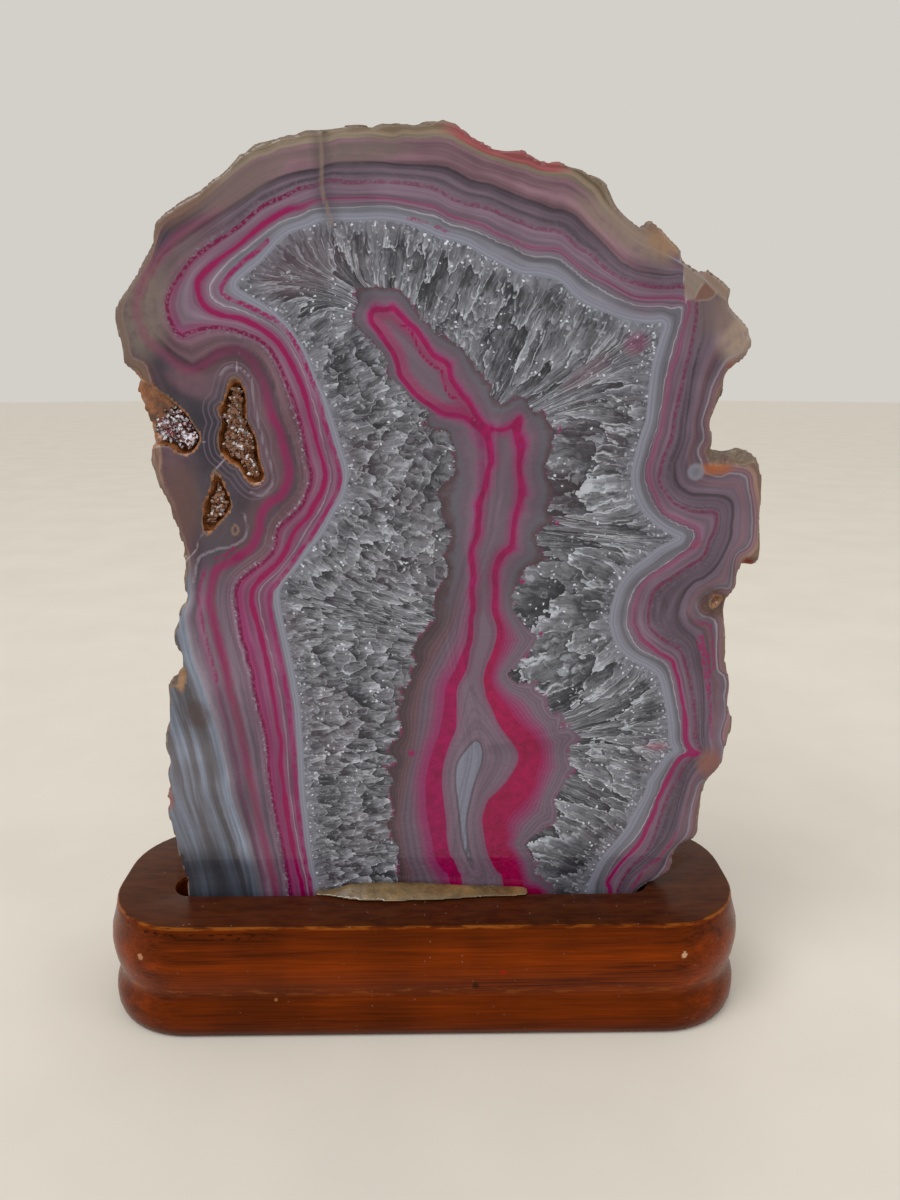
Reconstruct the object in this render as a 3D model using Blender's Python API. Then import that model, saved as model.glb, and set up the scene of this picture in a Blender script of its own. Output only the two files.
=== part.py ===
"""A polished agate slice standing on edge in a slotted wooden stand.

Metres, +Z up. The origin is the centre of the stand's footprint, on the surface that it stands on.
The slice's polished front faces -Y. Outlines are read in millimetres across (X) and up (Z).
"""

import math
import random

import bmesh
import bpy
from mathutils import Vector, noise
from mathutils.geometry import delaunay_2d_cdt

MM = 0.001

# Stand: a block with rounded corners, moulded all round, with one routed slot
STAND_LENGTH = 160.0
STAND_DEPTH = 50.0
STAND_HEIGHT = 30.0
STAND_CORNER_RADIUS = 20.5
STAND_CORNER_STEPS = 12
# How far the moulding stands out from the rim, at each height
STAND_MOULDING = [
    (0.0, 0.6), (0.8, 1.4), (2.5, 1.9), (5.0, 2.0), (7.0, 1.7), (9.0, 0.8), (10.5, 0.4),
    (12.0, 0.7), (15.0, 1.5), (18.0, 1.95), (20.0, 2.0), (22.5, 1.75), (25.0, 1.05),
    (27.5, 0.35), (29.6, 0.0), (30.0, -0.35),
]

SLOT_LEFT = -65.4
SLOT_RIGHT = 58.0
SLOT_FRONT_Y = -11.4
SLOT_BACK_Y = -0.4
SLOT_FLOOR = 16.0
SLOT_END_STEPS = 10

GAP = 0.3

# Slice: two sawn and polished faces, and a natural rind round the edge
SLICE_FRONT_Y = -8.9
SLICE_THICKNESS = 8.0
SLICE_BOTTOM = SLOT_FLOOR + GAP
RIND_DEPTHS = [0.0, 0.7, 2.2, 4.0, 5.8, 7.2, 8.0]
RIND_LUMP = 1.15
RIND_LUMP_SIZE = 7.0
# Below this height the edge is ground to fit between the slot's round ends
GROUND_BELOW = 31.0
GROUND_CLEARANCE = 0.45

SLICE_LEFT_EDGE = [
    (-61.0, SLICE_BOTTOM), (-61.4, 22), (-61.7, 28.8), (-61.7, 32), (-61.5, 33), (-62.2, 34.6),
    (-62.4, 36), (-63, 37.4), (-62.6, 38.8), (-63.4, 40), (-63.6, 42), (-63.8, 44.4),
    (-64.4, 47), (-64.6, 49.6), (-65, 51), (-65, 53), (-64.3, 55), (-65, 56.6), (-64, 58.2),
    (-64.2, 60), (-64.6, 62), (-64.4, 63.6), (-63.4, 65.4), (-63.6, 66.8), (-64, 69),
    (-64, 73), (-63.7, 74.5), (-62.9, 75.5), (-63, 77), (-63, 80), (-62.6, 82), (-62.4, 84),
    (-62.4, 86), (-61.4, 87.8), (-60.2, 88.8), (-59.4, 90.2), (-58.8, 91), (-58.4, 94.2),
    (-59.4, 95), (-59.9, 96.4), (-60.1, 98.6), (-59.8, 100), (-59.2, 101.2), (-58.8, 103),
    (-58.5, 104.6), (-57.2, 106), (-56.4, 107.2), (-56.3, 108.6), (-56.8, 110), (-56.6, 112),
    (-57, 112.8), (-56.9, 114.5), (-56.2, 115.8), (-55.9, 117), (-56.5, 118), (-56.5, 119.5),
    (-56.2, 120.8), (-57, 121.8), (-57.5, 123.4), (-57.4, 125), (-58.2, 127), (-58.6, 128.8),
    (-58.6, 130), (-59.4, 131.6), (-60.2, 133.4), (-61, 134.6), (-61.4, 136.2), (-61.6, 138),
    (-62.1, 139.8), (-62.1, 141.2), (-61.6, 143.2), (-61.8, 144.3), (-62.3, 145.6),
    (-62.3, 147), (-62.6, 148.5), (-63.2, 150.2), (-63.9, 152.5), (-64.2, 153.6), (-65, 156),
    (-65, 157.3), (-63.9, 158.8), (-64.2, 160), (-66.8, 161.8), (-66.6, 164.6),
    (-67.2, 167.8), (-68, 171.4), (-67.7, 173.8), (-66.4, 175.6), (-64.8, 177.6), (-63, 179.8),
    (-61.2, 183), (-60, 185), (-58, 187.4), (-57.8, 189.4), (-57.2, 191.8),
]
SLICE_TOP_EDGE = [
    (-55, 193.8), (-52, 195.4), (-49.6, 196.6), (-47.6, 197.8), (-44.8, 200), (-42.4, 201.2),
    (-40, 203.6), (-38.6, 205.2), (-36.8, 205.8), (-35, 207.2), (-32, 207.9), (-28, 209.1),
    (-26.8, 208.8), (-24.8, 209.8), (-21.4, 210), (-19.4, 210), (-16.2, 210.8), (-13, 211.1),
    (-10.2, 210.7), (-7, 211.4), (-5, 211.2), (-2.6, 211.3), (-1.4, 210.8), (0, 211.3),
    (4.6, 211.4), (7, 211.1), (8.6, 210.4), (10, 209.4), (11.4, 208.4), (13.4, 207.8),
    (15.4, 206.7), (18.2, 206), (21.6, 206.1), (23, 205.4), (24.8, 204.2), (27, 203.6),
    (30, 203.9), (31.8, 203), (35, 202), (37, 201), (38.8, 200.4), (40.1, 199.2),
    (41.3, 196.2), (42.6, 195), (44.2, 193.4), (46.2, 191.8), (49, 189.9),
]
SLICE_RIGHT_EDGE = [
    (49.2, 192.0), (50.1, 192.2), (52.2, 190.6), (53.8, 188.8), (55.8, 187), (56.8, 185.8),
    (57, 184.2), (59.4, 183), (61.4, 181.8), (63.2, 182.2), (65, 180.8), (67, 179.4),
    (68.8, 177.8), (68, 175.4), (69, 173.8), (71.4, 171.8), (73, 170), (74.4, 166.2),
    (73.4, 164.2), (71.8, 161.8), (69, 160.6), (68.4, 158), (68.7, 156.2), (68.2, 155),
    (67.4, 153.6), (66.8, 151.8), (66.4, 150.2), (66, 148.6), (66.6, 147.2), (67, 145),
    (66.9, 142.4), (68.6, 142.3), (69.6, 141.7), (71.4, 141.2), (72.4, 141.2), (73.6, 142),
    (74.8, 142.2), (76.4, 142.3), (77.2, 141.4), (78, 139.8), (78.2, 138.6), (78.9, 136.6),
    (79.2, 132), (79.4, 127), (79.5, 122), (79.9, 120.6), (80, 118), (79.6, 116),
    (78.6, 115.6), (76.4, 116), (75.8, 115.2), (75.2, 114.2), (74.8, 113), (75, 111.6),
    (74.8, 110.2), (74.2, 109), (73.2, 107.6), (72.6, 107), (72.4, 104), (72.8, 103),
    (73, 100), (73.6, 96), (73.9, 94), (73.8, 92), (74.2, 90), (74.8, 88), (75.4, 85.6),
    (75.4, 84), (75.2, 82), (75.2, 79.2), (76, 78), (76.6, 76.8), (76.6, 73.6), (76, 72),
    (75.6, 70), (75.2, 67), (75, 65.4), (74.4, 64), (73.6, 62.6), (72.6, 61.4), (71.6, 60),
    (71, 58.6), (70.6, 57.4), (70.2, 55), (70, 50), (69.8, 48.4), (69.9, 46), (69.2, 44),
    (68.4, 43.3), (66.6, 42.8), (65.2, 41.4), (64.6, 40.2), (64, 39), (64.1, 37),
    (63.8, 35.4), (63.4, 34.4), (61.6, 33), (60.4, 31.8), (58.8, 30.9), (57, 30.4),
    (55.4, 29.2), (54.6, 27), (54, SLICE_BOTTOM),
]

# Hollows in the front face, each a flat outline with a depth
EDGE_POCKET = [
    (-69, 160.6), (-63.7, 159.2), (-61.2, 157.4), (-58.2, 155.2), (-56.2, 153.4),
    (-53.8, 151.4), (-52.2, 148.6), (-50.7, 146.1), (-51, 144.6), (-52, 143.2),
    (-53.2, 142.2), (-54.6, 141.9), (-55.8, 142.4), (-57, 143.4), (-58.4, 144),
    (-60, 144.1), (-67, 144.3),
]
EDGE_POCKET_DEPTH = 4.4
EDGE_CRYSTALS = [
    (-59.6, 150.2), (-58, 152), (-56.2, 152), (-54.6, 150.6), (-53.2, 148.4), (-52, 146.2),
    (-52.2, 144.8), (-53.4, 143.6), (-54.8, 143.3), (-56.4, 144.2), (-58.4, 145.2),
    (-60.2, 146), (-60.6, 148.2),
]
TALL_POCKET = [
    (-42.2, 159.1), (-41.4, 158.6), (-40.4, 156.8), (-40, 155.4), (-40, 152.4), (-40.2, 150.2),
    (-39.4, 148.4), (-38.6, 146.8), (-37.9, 145), (-37.9, 142.4), (-37.6, 140.6),
    (-37.2, 139.4), (-36.8, 137.6), (-36.8, 136.2), (-38.6, 135), (-39.6, 135.2),
    (-41.2, 137.2), (-42.4, 139.6), (-43.4, 139.5), (-45, 141.4), (-46.2, 142.4),
    (-46.6, 144), (-46.5, 146), (-45.8, 147.8), (-45.2, 149.4), (-46, 151), (-46.2, 152.4),
    (-45, 152.8), (-44.4, 154.4), (-43.8, 156.4), (-43, 158.6),
]
TALL_POCKET_DEPTH = 3.2
TALL_CRYSTALS = [
    (-42, 157.4), (-41.3, 155.4), (-41.2, 152), (-41.3, 149.6), (-40.2, 147.4), (-39.1, 144.8),
    (-39, 141.2), (-38.1, 138.2), (-38.2, 136.6), (-39.2, 136.4), (-40.4, 137.8),
    (-41.6, 140.8), (-43.4, 141.1), (-44.8, 142.9), (-45.3, 144.6), (-45.1, 146.4),
    (-44.2, 149.2), (-44.8, 151.4), (-43.7, 152.6), (-43, 156),
]
SMALL_POCKET = [
    (-47.8, 138.5), (-46.6, 136.4), (-46, 134.6), (-45.2, 132.6), (-44.5, 130.6),
    (-44.8, 129.4), (-46.6, 127.2), (-48, 125.8), (-49.2, 124.4), (-50.4, 123.4),
    (-51, 123.8), (-51.4, 126), (-51, 128), (-50.8, 130.6), (-49.4, 132.4), (-49, 134.2),
    (-48.4, 136.2),
]
SMALL_POCKET_DEPTH = 3.2
SMALL_CRYSTALS = [
    (-47.6, 135.4), (-47, 133.6), (-46.2, 131.6), (-45.9, 130.2), (-46.6, 128.8),
    (-48.2, 127.2), (-49.5, 125.8), (-50, 126.4), (-49.8, 128.4), (-49.5, 130.2),
    (-48.3, 131.8), (-48, 133.8),
]
TINY_PIT = [
    (-44.4, 125.2), (-43.6, 125.6), (-43.2, 124.8), (-43.4, 123.6), (-44.2, 123.4),
    (-44.6, 124.2),
]
TINY_PIT_DEPTH = 1.2
EYE_PIT = [
    (70.4, 108.4), (71.2, 108.2), (71.3, 107.4), (70.8, 106.2), (69.9, 105.4), (69, 105.4),
    (68.8, 106.2), (69.3, 107.5),
]
EYE_PIT_DEPTH = 4.0
POCKET_WALL_SLOPE = 0.22

# Round scoops where the rind has broken away: place across and up, depth behind the face, radius
RIND_SCOOPS = [
    (68.4, 141.9, 0.6, 2.5), (74.2, 141.8, 0.9, 2.4), (77.4, 115.6, 0.4, 1.8),
    (-60.1, 88.6, 0.6, 2.4), (-58.0, 114.2, 0.8, 1.9), (-65.8, 54.2, 2.4, 1.8),
    (71.6, 160.6, 0.8, 2.2), (75.8, 69.4, 3.0, 2.2), (-61.8, 180.6, 3.2, 2.3),
]

CRUST_PLATE = 0.8

# Glue bead along the front of the slot: place along X, top of the bead, front reach on the stand
GLUE_STATIONS = [
    (-28.4, 30.75, -12.0), (-26.0, 30.8, -12.2), (-23.8, 31.0, -12.7), (-21.6, 31.6, -13.4),
    (-19.0, 32.3, -14.2), (-15.0, 32.7, -14.9), (-9.0, 32.6, -15.1), (-2.0, 32.6, -15.0),
    (3.0, 32.3, -14.7), (8.0, 31.9, -14.2), (13.0, 31.6, -13.6), (18.0, 31.5, -13.4),
    (22.5, 31.3, -13.2), (25.0, 31.1, -12.9), (26.4, 30.8, -12.3),
]
GLUE_BOTTOM = 25.0

COLOURS = {
    "agate_slice": ((0.22, 0.16, 0.19, 1), 0.12, 0.0),
    "wooden_stand": ((0.12, 0.028, 0.010, 1), 0.22, 0.0),
    "glue_bead": ((0.34, 0.23, 0.07, 1), 0.15, 0.0),
    "edge_pocket_crystals": ((0.42, 0.25, 0.22, 1), 0.25, 0.0),
    "tall_pocket_crystals": ((0.25, 0.12, 0.06, 1), 0.35, 0.0),
    "small_pocket_crystals": ((0.25, 0.10, 0.05, 1), 0.35, 0.0),
}


def clear_scene():
    for obj in list(bpy.data.objects):
        bpy.data.objects.remove(obj, do_unlink=True)


def new_collection(name):
    collection = bpy.data.collections.new(name)
    bpy.context.scene.collection.children.link(collection)
    return collection


def coloured(name):
    colour, roughness, metallic = COLOURS[name]
    material = bpy.data.materials.new(name)
    material.use_nodes = True
    shader = material.node_tree.nodes["Principled BSDF"]
    shader.inputs["Base Color"].default_value = colour
    shader.inputs["Roughness"].default_value = roughness
    shader.inputs["Metallic"].default_value = metallic
    return material


def object_from(bm, name, collection):
    """The finished mesh as an object, in metres, with its faces pointing out."""
    bmesh.ops.recalc_face_normals(bm, faces=bm.faces)
    bmesh.ops.scale(bm, vec=(MM, MM, MM), verts=bm.verts)
    mesh = bpy.data.meshes.new(name)
    bm.to_mesh(mesh)
    bm.free()
    obj = bpy.data.objects.new(name, mesh)
    collection.objects.link(obj)
    return obj


def loft(rings):
    """A closed solid through rings of the same number of points, with a flat face at each end."""
    bm = bmesh.new()
    loops = [[bm.verts.new(point) for point in ring] for ring in rings]
    for low, high in zip(loops, loops[1:]):
        for i, vert in enumerate(low):
            after = (i + 1) % len(low)
            bm.faces.new((vert, low[after], high[after], high[i]))
    bm.faces.new(loops[0])
    bm.faces.new(loops[-1])
    return bm


def helper(obj):
    obj.hide_render = True
    obj.display_type = "WIRE"
    return obj


def add_boolean(obj, operation, other):
    modifier = obj.modifiers.new(f"{operation.title()} {other.name}", "BOOLEAN")
    modifier.operation = operation
    modifier.object = other
    return modifier


def stand_ring(height, offset):
    """The stand's rounded rectangle at one height, grown outward by the offset."""
    radius = STAND_CORNER_RADIUS + offset
    across = STAND_LENGTH / 2 - STAND_CORNER_RADIUS
    along = STAND_DEPTH / 2 - STAND_CORNER_RADIUS
    ring = []
    for corner, (side_x, side_y) in enumerate([(1, 1), (-1, 1), (-1, -1), (1, -1)]):
        for step in range(STAND_CORNER_STEPS + 1):
            turn = math.pi / 2 * (corner + step / STAND_CORNER_STEPS)
            x = side_x * across + radius * math.cos(turn)
            y = side_y * along + radius * math.sin(turn)
            ring.append((x, y, height))
    return ring


def slot_ring(height):
    """The routed slot's outline: straight sides and round ends."""
    radius = (SLOT_BACK_Y - SLOT_FRONT_Y) / 2
    middle_y = (SLOT_BACK_Y + SLOT_FRONT_Y) / 2
    ring = []
    for end_x, start in ((SLOT_RIGHT - radius, -math.pi / 2), (SLOT_LEFT + radius, math.pi / 2)):
        for step in range(SLOT_END_STEPS + 1):
            turn = start + math.pi * step / SLOT_END_STEPS
            ring.append((end_x + radius * math.cos(turn), middle_y + radius * math.sin(turn), height))
    return ring


def make_stand(parts, cutters):
    stand = object_from(loft([stand_ring(z, out) for z, out in STAND_MOULDING]), "wooden_stand", parts)
    slot = object_from(loft([slot_ring(SLOT_FLOOR), slot_ring(STAND_HEIGHT + 2)]), "slot_cutter", cutters)
    add_boolean(stand, "DIFFERENCE", helper(slot))
    return stand


def outward(points, i):
    """The direction away from the slice at one point of its outline, which runs clockwise."""
    before = Vector(points[i - 1])
    after = Vector(points[(i + 1) % len(points)])
    along = after - before
    return Vector((-along.y, along.x)).normalized()


def slot_half_width(y):
    """How far the slot's round end reaches past its centre, at one depth."""
    radius = (SLOT_BACK_Y - SLOT_FRONT_Y) / 2
    middle_y = (SLOT_BACK_Y + SLOT_FRONT_Y) / 2
    return math.sqrt(radius**2 - (y - middle_y) ** 2) - radius


def rind_ring(points, depth):
    """The slice's edge at one depth behind the front face. The rind is lumpy, and the face's edge is not."""
    y = SLICE_FRONT_Y + depth
    rough = min(1.0, depth / 2)
    ring = []
    for i, (x, z) in enumerate(points):
        lump = noise.noise(Vector((x, depth * 1.6, z)) / RIND_LUMP_SIZE) * RIND_LUMP
        grit = noise.noise(Vector((x, depth * 1.3, z + 50)) / 2.3) * 0.35
        swell = 0.35 * math.sin(math.pi * depth / SLICE_THICKNESS)
        if z > GROUND_BELOW:
            moved = Vector((x, z)) + outward(points, i) * rough * (lump + grit + swell)
            x, z = moved.x, moved.y
        else:
            ends = slot_half_width(y) - GROUND_CLEARANCE
            x = min(max(x, SLOT_LEFT - ends), SLOT_RIGHT + ends)
        ring.append((x, y, z))
    return ring


def shifted_inwards(points, distance):
    """The outline moved in from its edge, for a hollow whose walls slope."""
    moved = []
    for i, point in enumerate(points):
        inner = Vector(point) - outward(points, i) * distance
        moved.append((inner.x, inner.y))
    return moved


def hollow_cutter(name, points, depth, cutters):
    """A tapered plug that cuts a hollow of the given depth into the front face."""
    floor = shifted_inwards(points, depth * POCKET_WALL_SLOPE)
    rings = [
        [(x, SLICE_FRONT_Y - 1, z) for x, z in points],
        [(x, SLICE_FRONT_Y, z) for x, z in points],
        [(x, SLICE_FRONT_Y + depth, z) for x, z in floor],
    ]
    return helper(object_from(loft(rings), name, cutters))


def scoop_cutter(name, x, z, depth, radius, cutters):
    bm = bmesh.new()
    bmesh.ops.create_icosphere(bm, subdivisions=2, radius=radius)
    bmesh.ops.translate(bm, vec=(x, SLICE_FRONT_Y + depth, z), verts=bm.verts)
    return helper(object_from(bm, name, cutters))


def make_slice(parts, cutters):
    outline = SLICE_LEFT_EDGE + SLICE_TOP_EDGE + SLICE_RIGHT_EDGE
    bm = loft([rind_ring(outline, depth) for depth in RIND_DEPTHS])
    agate = object_from(bm, "agate_slice", parts)
    hollows = {
        "edge_pocket_cutter": (EDGE_POCKET, EDGE_POCKET_DEPTH),
        "tall_pocket_cutter": (TALL_POCKET, TALL_POCKET_DEPTH),
        "small_pocket_cutter": (SMALL_POCKET, SMALL_POCKET_DEPTH),
        "tiny_pit_cutter": (TINY_PIT, TINY_PIT_DEPTH),
        "eye_pit_cutter": (EYE_PIT, EYE_PIT_DEPTH),
    }
    for name, (points, depth) in hollows.items():
        add_boolean(agate, "DIFFERENCE", hollow_cutter(name, points, depth, cutters))
    for i, (x, z, depth, radius) in enumerate(RIND_SCOOPS):
        scoop = scoop_cutter(f"rind_scoop_{i}", x, z, depth, radius, cutters)
        add_boolean(agate, "DIFFERENCE", scoop)
    return agate


def inside(x, z, points):
    """Whether a place lies inside a closed outline."""
    crossings = 0
    for i, (x1, z1) in enumerate(points):
        x0, z0 = points[i - 1]
        if (z0 > z) != (z1 > z) and x < x0 + (z - z0) * (x1 - x0) / (z1 - z0):
            crossings += 1
    return crossings % 2 == 1


def crystal_places(room, spacing, chance):
    """Places for crystal tips inside an outline: a loose hexagonal grid."""
    low_x, high_x = min(x for x, z in room), max(x for x, z in room)
    low_z, high_z = min(z for x, z in room), max(z for x, z in room)
    row_height = spacing * math.sqrt(3) / 2
    places = []
    for row in range(int((high_z - low_z) / row_height) + 1):
        for column in range(int((high_x - low_x) / spacing) + 2):
            x = low_x + (column + 0.5 * (row % 2) + chance.uniform(-0.22, 0.22)) * spacing
            z = low_z + (row + chance.uniform(-0.22, 0.22)) * row_height
            if inside(x, z, room):
                places.append(Vector((x, z)))
    return places


def make_crust(name, outline, floor_depth, spacing, tallest, seed, parts):
    """A hollow's lining: a thin plate whose front rises to six-sided crystal points."""
    chance = random.Random(seed)
    plate_back = SLICE_FRONT_Y + floor_depth - GAP
    plate_front = plate_back - CRUST_PLATE
    rim = [Vector(point) for point in outline]
    tips = crystal_places(shifted_inwards(outline, 0.35 * spacing), spacing, chance)
    tip_triangles = delaunay_2d_cdt(tips, [], [], 0, 1e-5)[2]
    valleys = [sum((tips[i] for i in corners), Vector((0, 0))) / 3 for corners in tip_triangles]
    edge = list(range(len(rim)))
    flat, _, faces, origins, _, _ = delaunay_2d_cdt(rim + tips + valleys, [], [edge], 1, 1e-5)

    bm = bmesh.new()
    verts = []
    for place, origin in zip(flat, origins):
        height = 0.0
        if origin and origin[0] >= len(rim):
            is_tip = origin[0] < len(rim) + len(tips)
            height = tallest * (chance.uniform(0.5, 1.0) if is_tip else chance.uniform(0.0, 0.15))
        verts.append(bm.verts.new((place.x, plate_front - height, place.y)))
    for corners in faces:
        bm.faces.new([verts[i] for i in corners])
    made = bmesh.ops.extrude_face_region(bm, geom=list(bm.faces))["geom"]
    for item in made:
        if isinstance(item, bmesh.types.BMVert):
            item.co.y = plate_back
    return object_from(bm, name, parts)


def glue_ring(x, top, reach):
    """The bead's section at one place: a tongue down the slot, and a lip over the stand's edge."""
    slice_side = SLICE_FRONT_Y - GAP
    slot_side = SLOT_FRONT_Y + GAP
    above_stand = STAND_HEIGHT + GAP
    shoulder = (top - above_stand) * 0.55 + above_stand
    section = [
        (slice_side, GLUE_BOTTOM), (slot_side, GLUE_BOTTOM), (slot_side, above_stand),
        (reach + 0.15, above_stand), (reach, above_stand + 0.18),
        ((reach + slot_side) / 2, shoulder), (slot_side + 0.3, top - 0.15),
        (slice_side - 0.5, top), (slice_side, top),
    ]
    return [(x, y, z) for y, z in section]


def make_glue(parts):
    return object_from(loft([glue_ring(*station) for station in GLUE_STATIONS]), "glue_bead", parts)


def main():
    clear_scene()
    parts = new_collection("agate slice")
    cutters = new_collection("cutters")
    pieces = [
        make_stand(parts, cutters),
        make_slice(parts, cutters),
        make_glue(parts),
        make_crust("edge_pocket_crystals", EDGE_CRYSTALS, EDGE_POCKET_DEPTH, 1.7, 1.9, 3, parts),
        make_crust("tall_pocket_crystals", TALL_CRYSTALS, TALL_POCKET_DEPTH, 1.5, 1.3, 5, parts),
        make_crust("small_pocket_crystals", SMALL_CRYSTALS, SMALL_POCKET_DEPTH, 1.4, 1.3, 7, parts),
    ]
    for piece in pieces:
        piece.data.materials.append(coloured(piece.name))


main()
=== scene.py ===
"""The looks of an agate slice on its wooden stand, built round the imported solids.

Places on the slice are millimetres across (X) and up (Z) on its polished front face.
"""

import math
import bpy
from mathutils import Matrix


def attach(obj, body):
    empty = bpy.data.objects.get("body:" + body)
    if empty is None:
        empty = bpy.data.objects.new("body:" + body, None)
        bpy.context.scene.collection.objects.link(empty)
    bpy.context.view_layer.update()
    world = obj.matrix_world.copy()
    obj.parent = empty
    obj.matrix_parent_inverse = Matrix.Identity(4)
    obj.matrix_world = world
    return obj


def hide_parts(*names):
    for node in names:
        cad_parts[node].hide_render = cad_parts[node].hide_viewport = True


bl_info = {
    "name": "Agate slice on a stand",
    "version": (1, 0, 0),
    "blender": (4, 5, 0),
    "location": "View3D > Sidebar > Agate",
    "description": "Dresses an agate slice, its crystal hollows, its glue and its wooden stand",
    "category": "Object",
}

import bpy
import numpy as np
from mathutils import Matrix, Vector, noise

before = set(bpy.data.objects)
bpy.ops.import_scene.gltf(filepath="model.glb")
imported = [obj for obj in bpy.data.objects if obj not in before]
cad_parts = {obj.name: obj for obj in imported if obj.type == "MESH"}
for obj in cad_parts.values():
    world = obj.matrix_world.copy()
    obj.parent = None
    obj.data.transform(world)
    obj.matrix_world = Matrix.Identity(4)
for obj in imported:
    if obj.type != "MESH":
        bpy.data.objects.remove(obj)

MM = 0.001

# In millimetres: the two polished faces, how near to one a point is moved onto it, and how
# far inside both the rough rim starts
FRONT_Y = -8.9
BACK_Y = -0.9
SNAP = 0.25
RIM_INSET = 0.6
# In millimetres: how far below the table closed lines run on, the spacing of their samples,
# and how softly a place along one passes from side to side
RUN_DOWN = 60.0
CURVE_STEP = 0.7
RING_EASE = 2.0
# How many points are compared with a line at a time
BATCH = 20000
RING_BATCH = 10000

# The banding's steps from the rim to the quartz, a quartz facet's width, the roughness of all
# noises, and the light that the gloss takes from the colour under it
BANDS = 6.0
FACET = 1.9
NOISE_ROUGHNESS = 0.55
GLOSS_VEIL = 0.015

# The photograph's camera in metres and degrees, with its lens in millimetres
CAMERA_PLACE = (0.0034, -0.2178, 0.1595)
CAMERA_TURN = (76, 0, -0.8)
CAMERA_LENS = 27.03
SENSOR_WIDTH = 36
CLIP_START = 0.01
# The studio: the sky, the sun's strength, spread and turn, and lamps by name, place, width, power
SKY_COLOUR = (0.65, 0.63, 0.59, 1)
SUN_STRENGTH = 0.75
SUN_SPREAD = 50
SUN_TURN = (38, 0, -40)
LAMP_AIM = (0, 0, 0.1)
LAMPS = (("key", (-0.6, -0.5, 1.1), 0.6, 3.4), ("fill", (1.0, -0.5, 0.7), 0.8, 2))
FLOOR_RADIUS = 6

# Closed lines of the banding, each from the bottom left up, over the top and down the right
RIND_LINE = [
    (-43, 16), (-43.8, 31.2), (-44.4, 36), (-45.2, 40), (-46, 44.8), (-46.8, 48), (-48, 52.8),
    (-49.2, 58), (-49.6, 63), (-50.2, 67), (-51.2, 73), (-52, 77), (-52.8, 80), (-53.6, 83.8),
    (-54.4, 87), (-55.6, 91), (-56.4, 95), (-57.4, 103), (-57, 105), (-55.8, 108), (-55.4, 112),
    (-55, 118), (-55.8, 122), (-56.8, 126), (-57.6, 130), (-59.4, 134), (-60.2, 138), (-60, 142),
    (-61, 160), (-64.6, 163.6), (-65, 167), (-65.8, 171), (-65.4, 174.4), (-63.6, 177.4),
    (-61, 180.6), (-58.6, 184), (-57, 188), (-55.2, 191.2), (-50.4, 193.8), (-46.4, 196.2),
    (-42.4, 199.4), (-40, 201.2), (-37.6, 203), (-34.8, 204.6), (-32, 205.2), (-29.6, 206.4),
    (-26.8, 206.8), (-24, 207.4), (-19.8, 207.6), (-17, 208.4), (-13.8, 208.4), (-11, 208.6),
    (-8.2, 208.3), (-5.4, 208), (-3.4, 208.6), (-0.2, 208.4), (3, 208.7), (6.2, 208.4),
    (8.6, 207.2), (11, 206), (14.2, 204.6), (17.4, 203.8), (20.2, 203), (22.6, 202.6),
    (25, 201.6), (28.2, 201.1), (31, 201), (33, 200.2), (35, 198.8), (37, 197.4), (38.6, 195),
    (40.6, 193), (43, 191), (45, 189.4), (47.4, 187.8), (49, 187), (52, 186), (56, 184),
    (60, 181.4), (64, 179), (67, 176.4), (70, 172), (72.4, 168), (72, 164.6), (69, 163),
    (67, 160), (65.6, 156.4), (65, 153.2), (64.2, 150.8), (64, 148.8), (64.6, 146.4),
    (64.6, 144.8), (63.6, 143.4), (63.6, 142), (64.4, 140.4), (65, 138.8), (65.8, 137.6),
    (67.4, 137), (69.4, 136.8), (71, 137.6), (72.2, 137.6), (75, 136.8), (75.8, 134),
    (77, 129.2), (77.4, 125.2), (77.4, 122), (76.6, 120), (74.6, 118.8), (73.6, 116.8),
    (73.4, 110.2), (71, 110.2), (69, 109.6), (67.4, 108.4), (65.8, 106.8), (65.6, 105.2),
    (67, 103.6), (69.4, 102.8), (70.6, 101.8), (71, 99), (71.2, 95), (71.4, 92.2), (72, 89.4),
    (73.8, 87.8), (74.2, 85), (74, 83), (74.4, 80.2), (74.6, 77.4), (74, 75), (73.8, 71.8),
    (74.8, 68.6), (74.4, 65), (72.6, 60.8), (70.2, 60), (69, 58.6), (68.6, 56.2), (68.2, 54.8),
    (67.6, 50), (67.6, 47.2), (66.8, 44.6), (64.6, 42), (62.8, 39.4), (62, 36.4), (60.4, 33.6),
    (57.6, 31), (54.6, 28.4), (53.4, 16),
]
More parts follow.
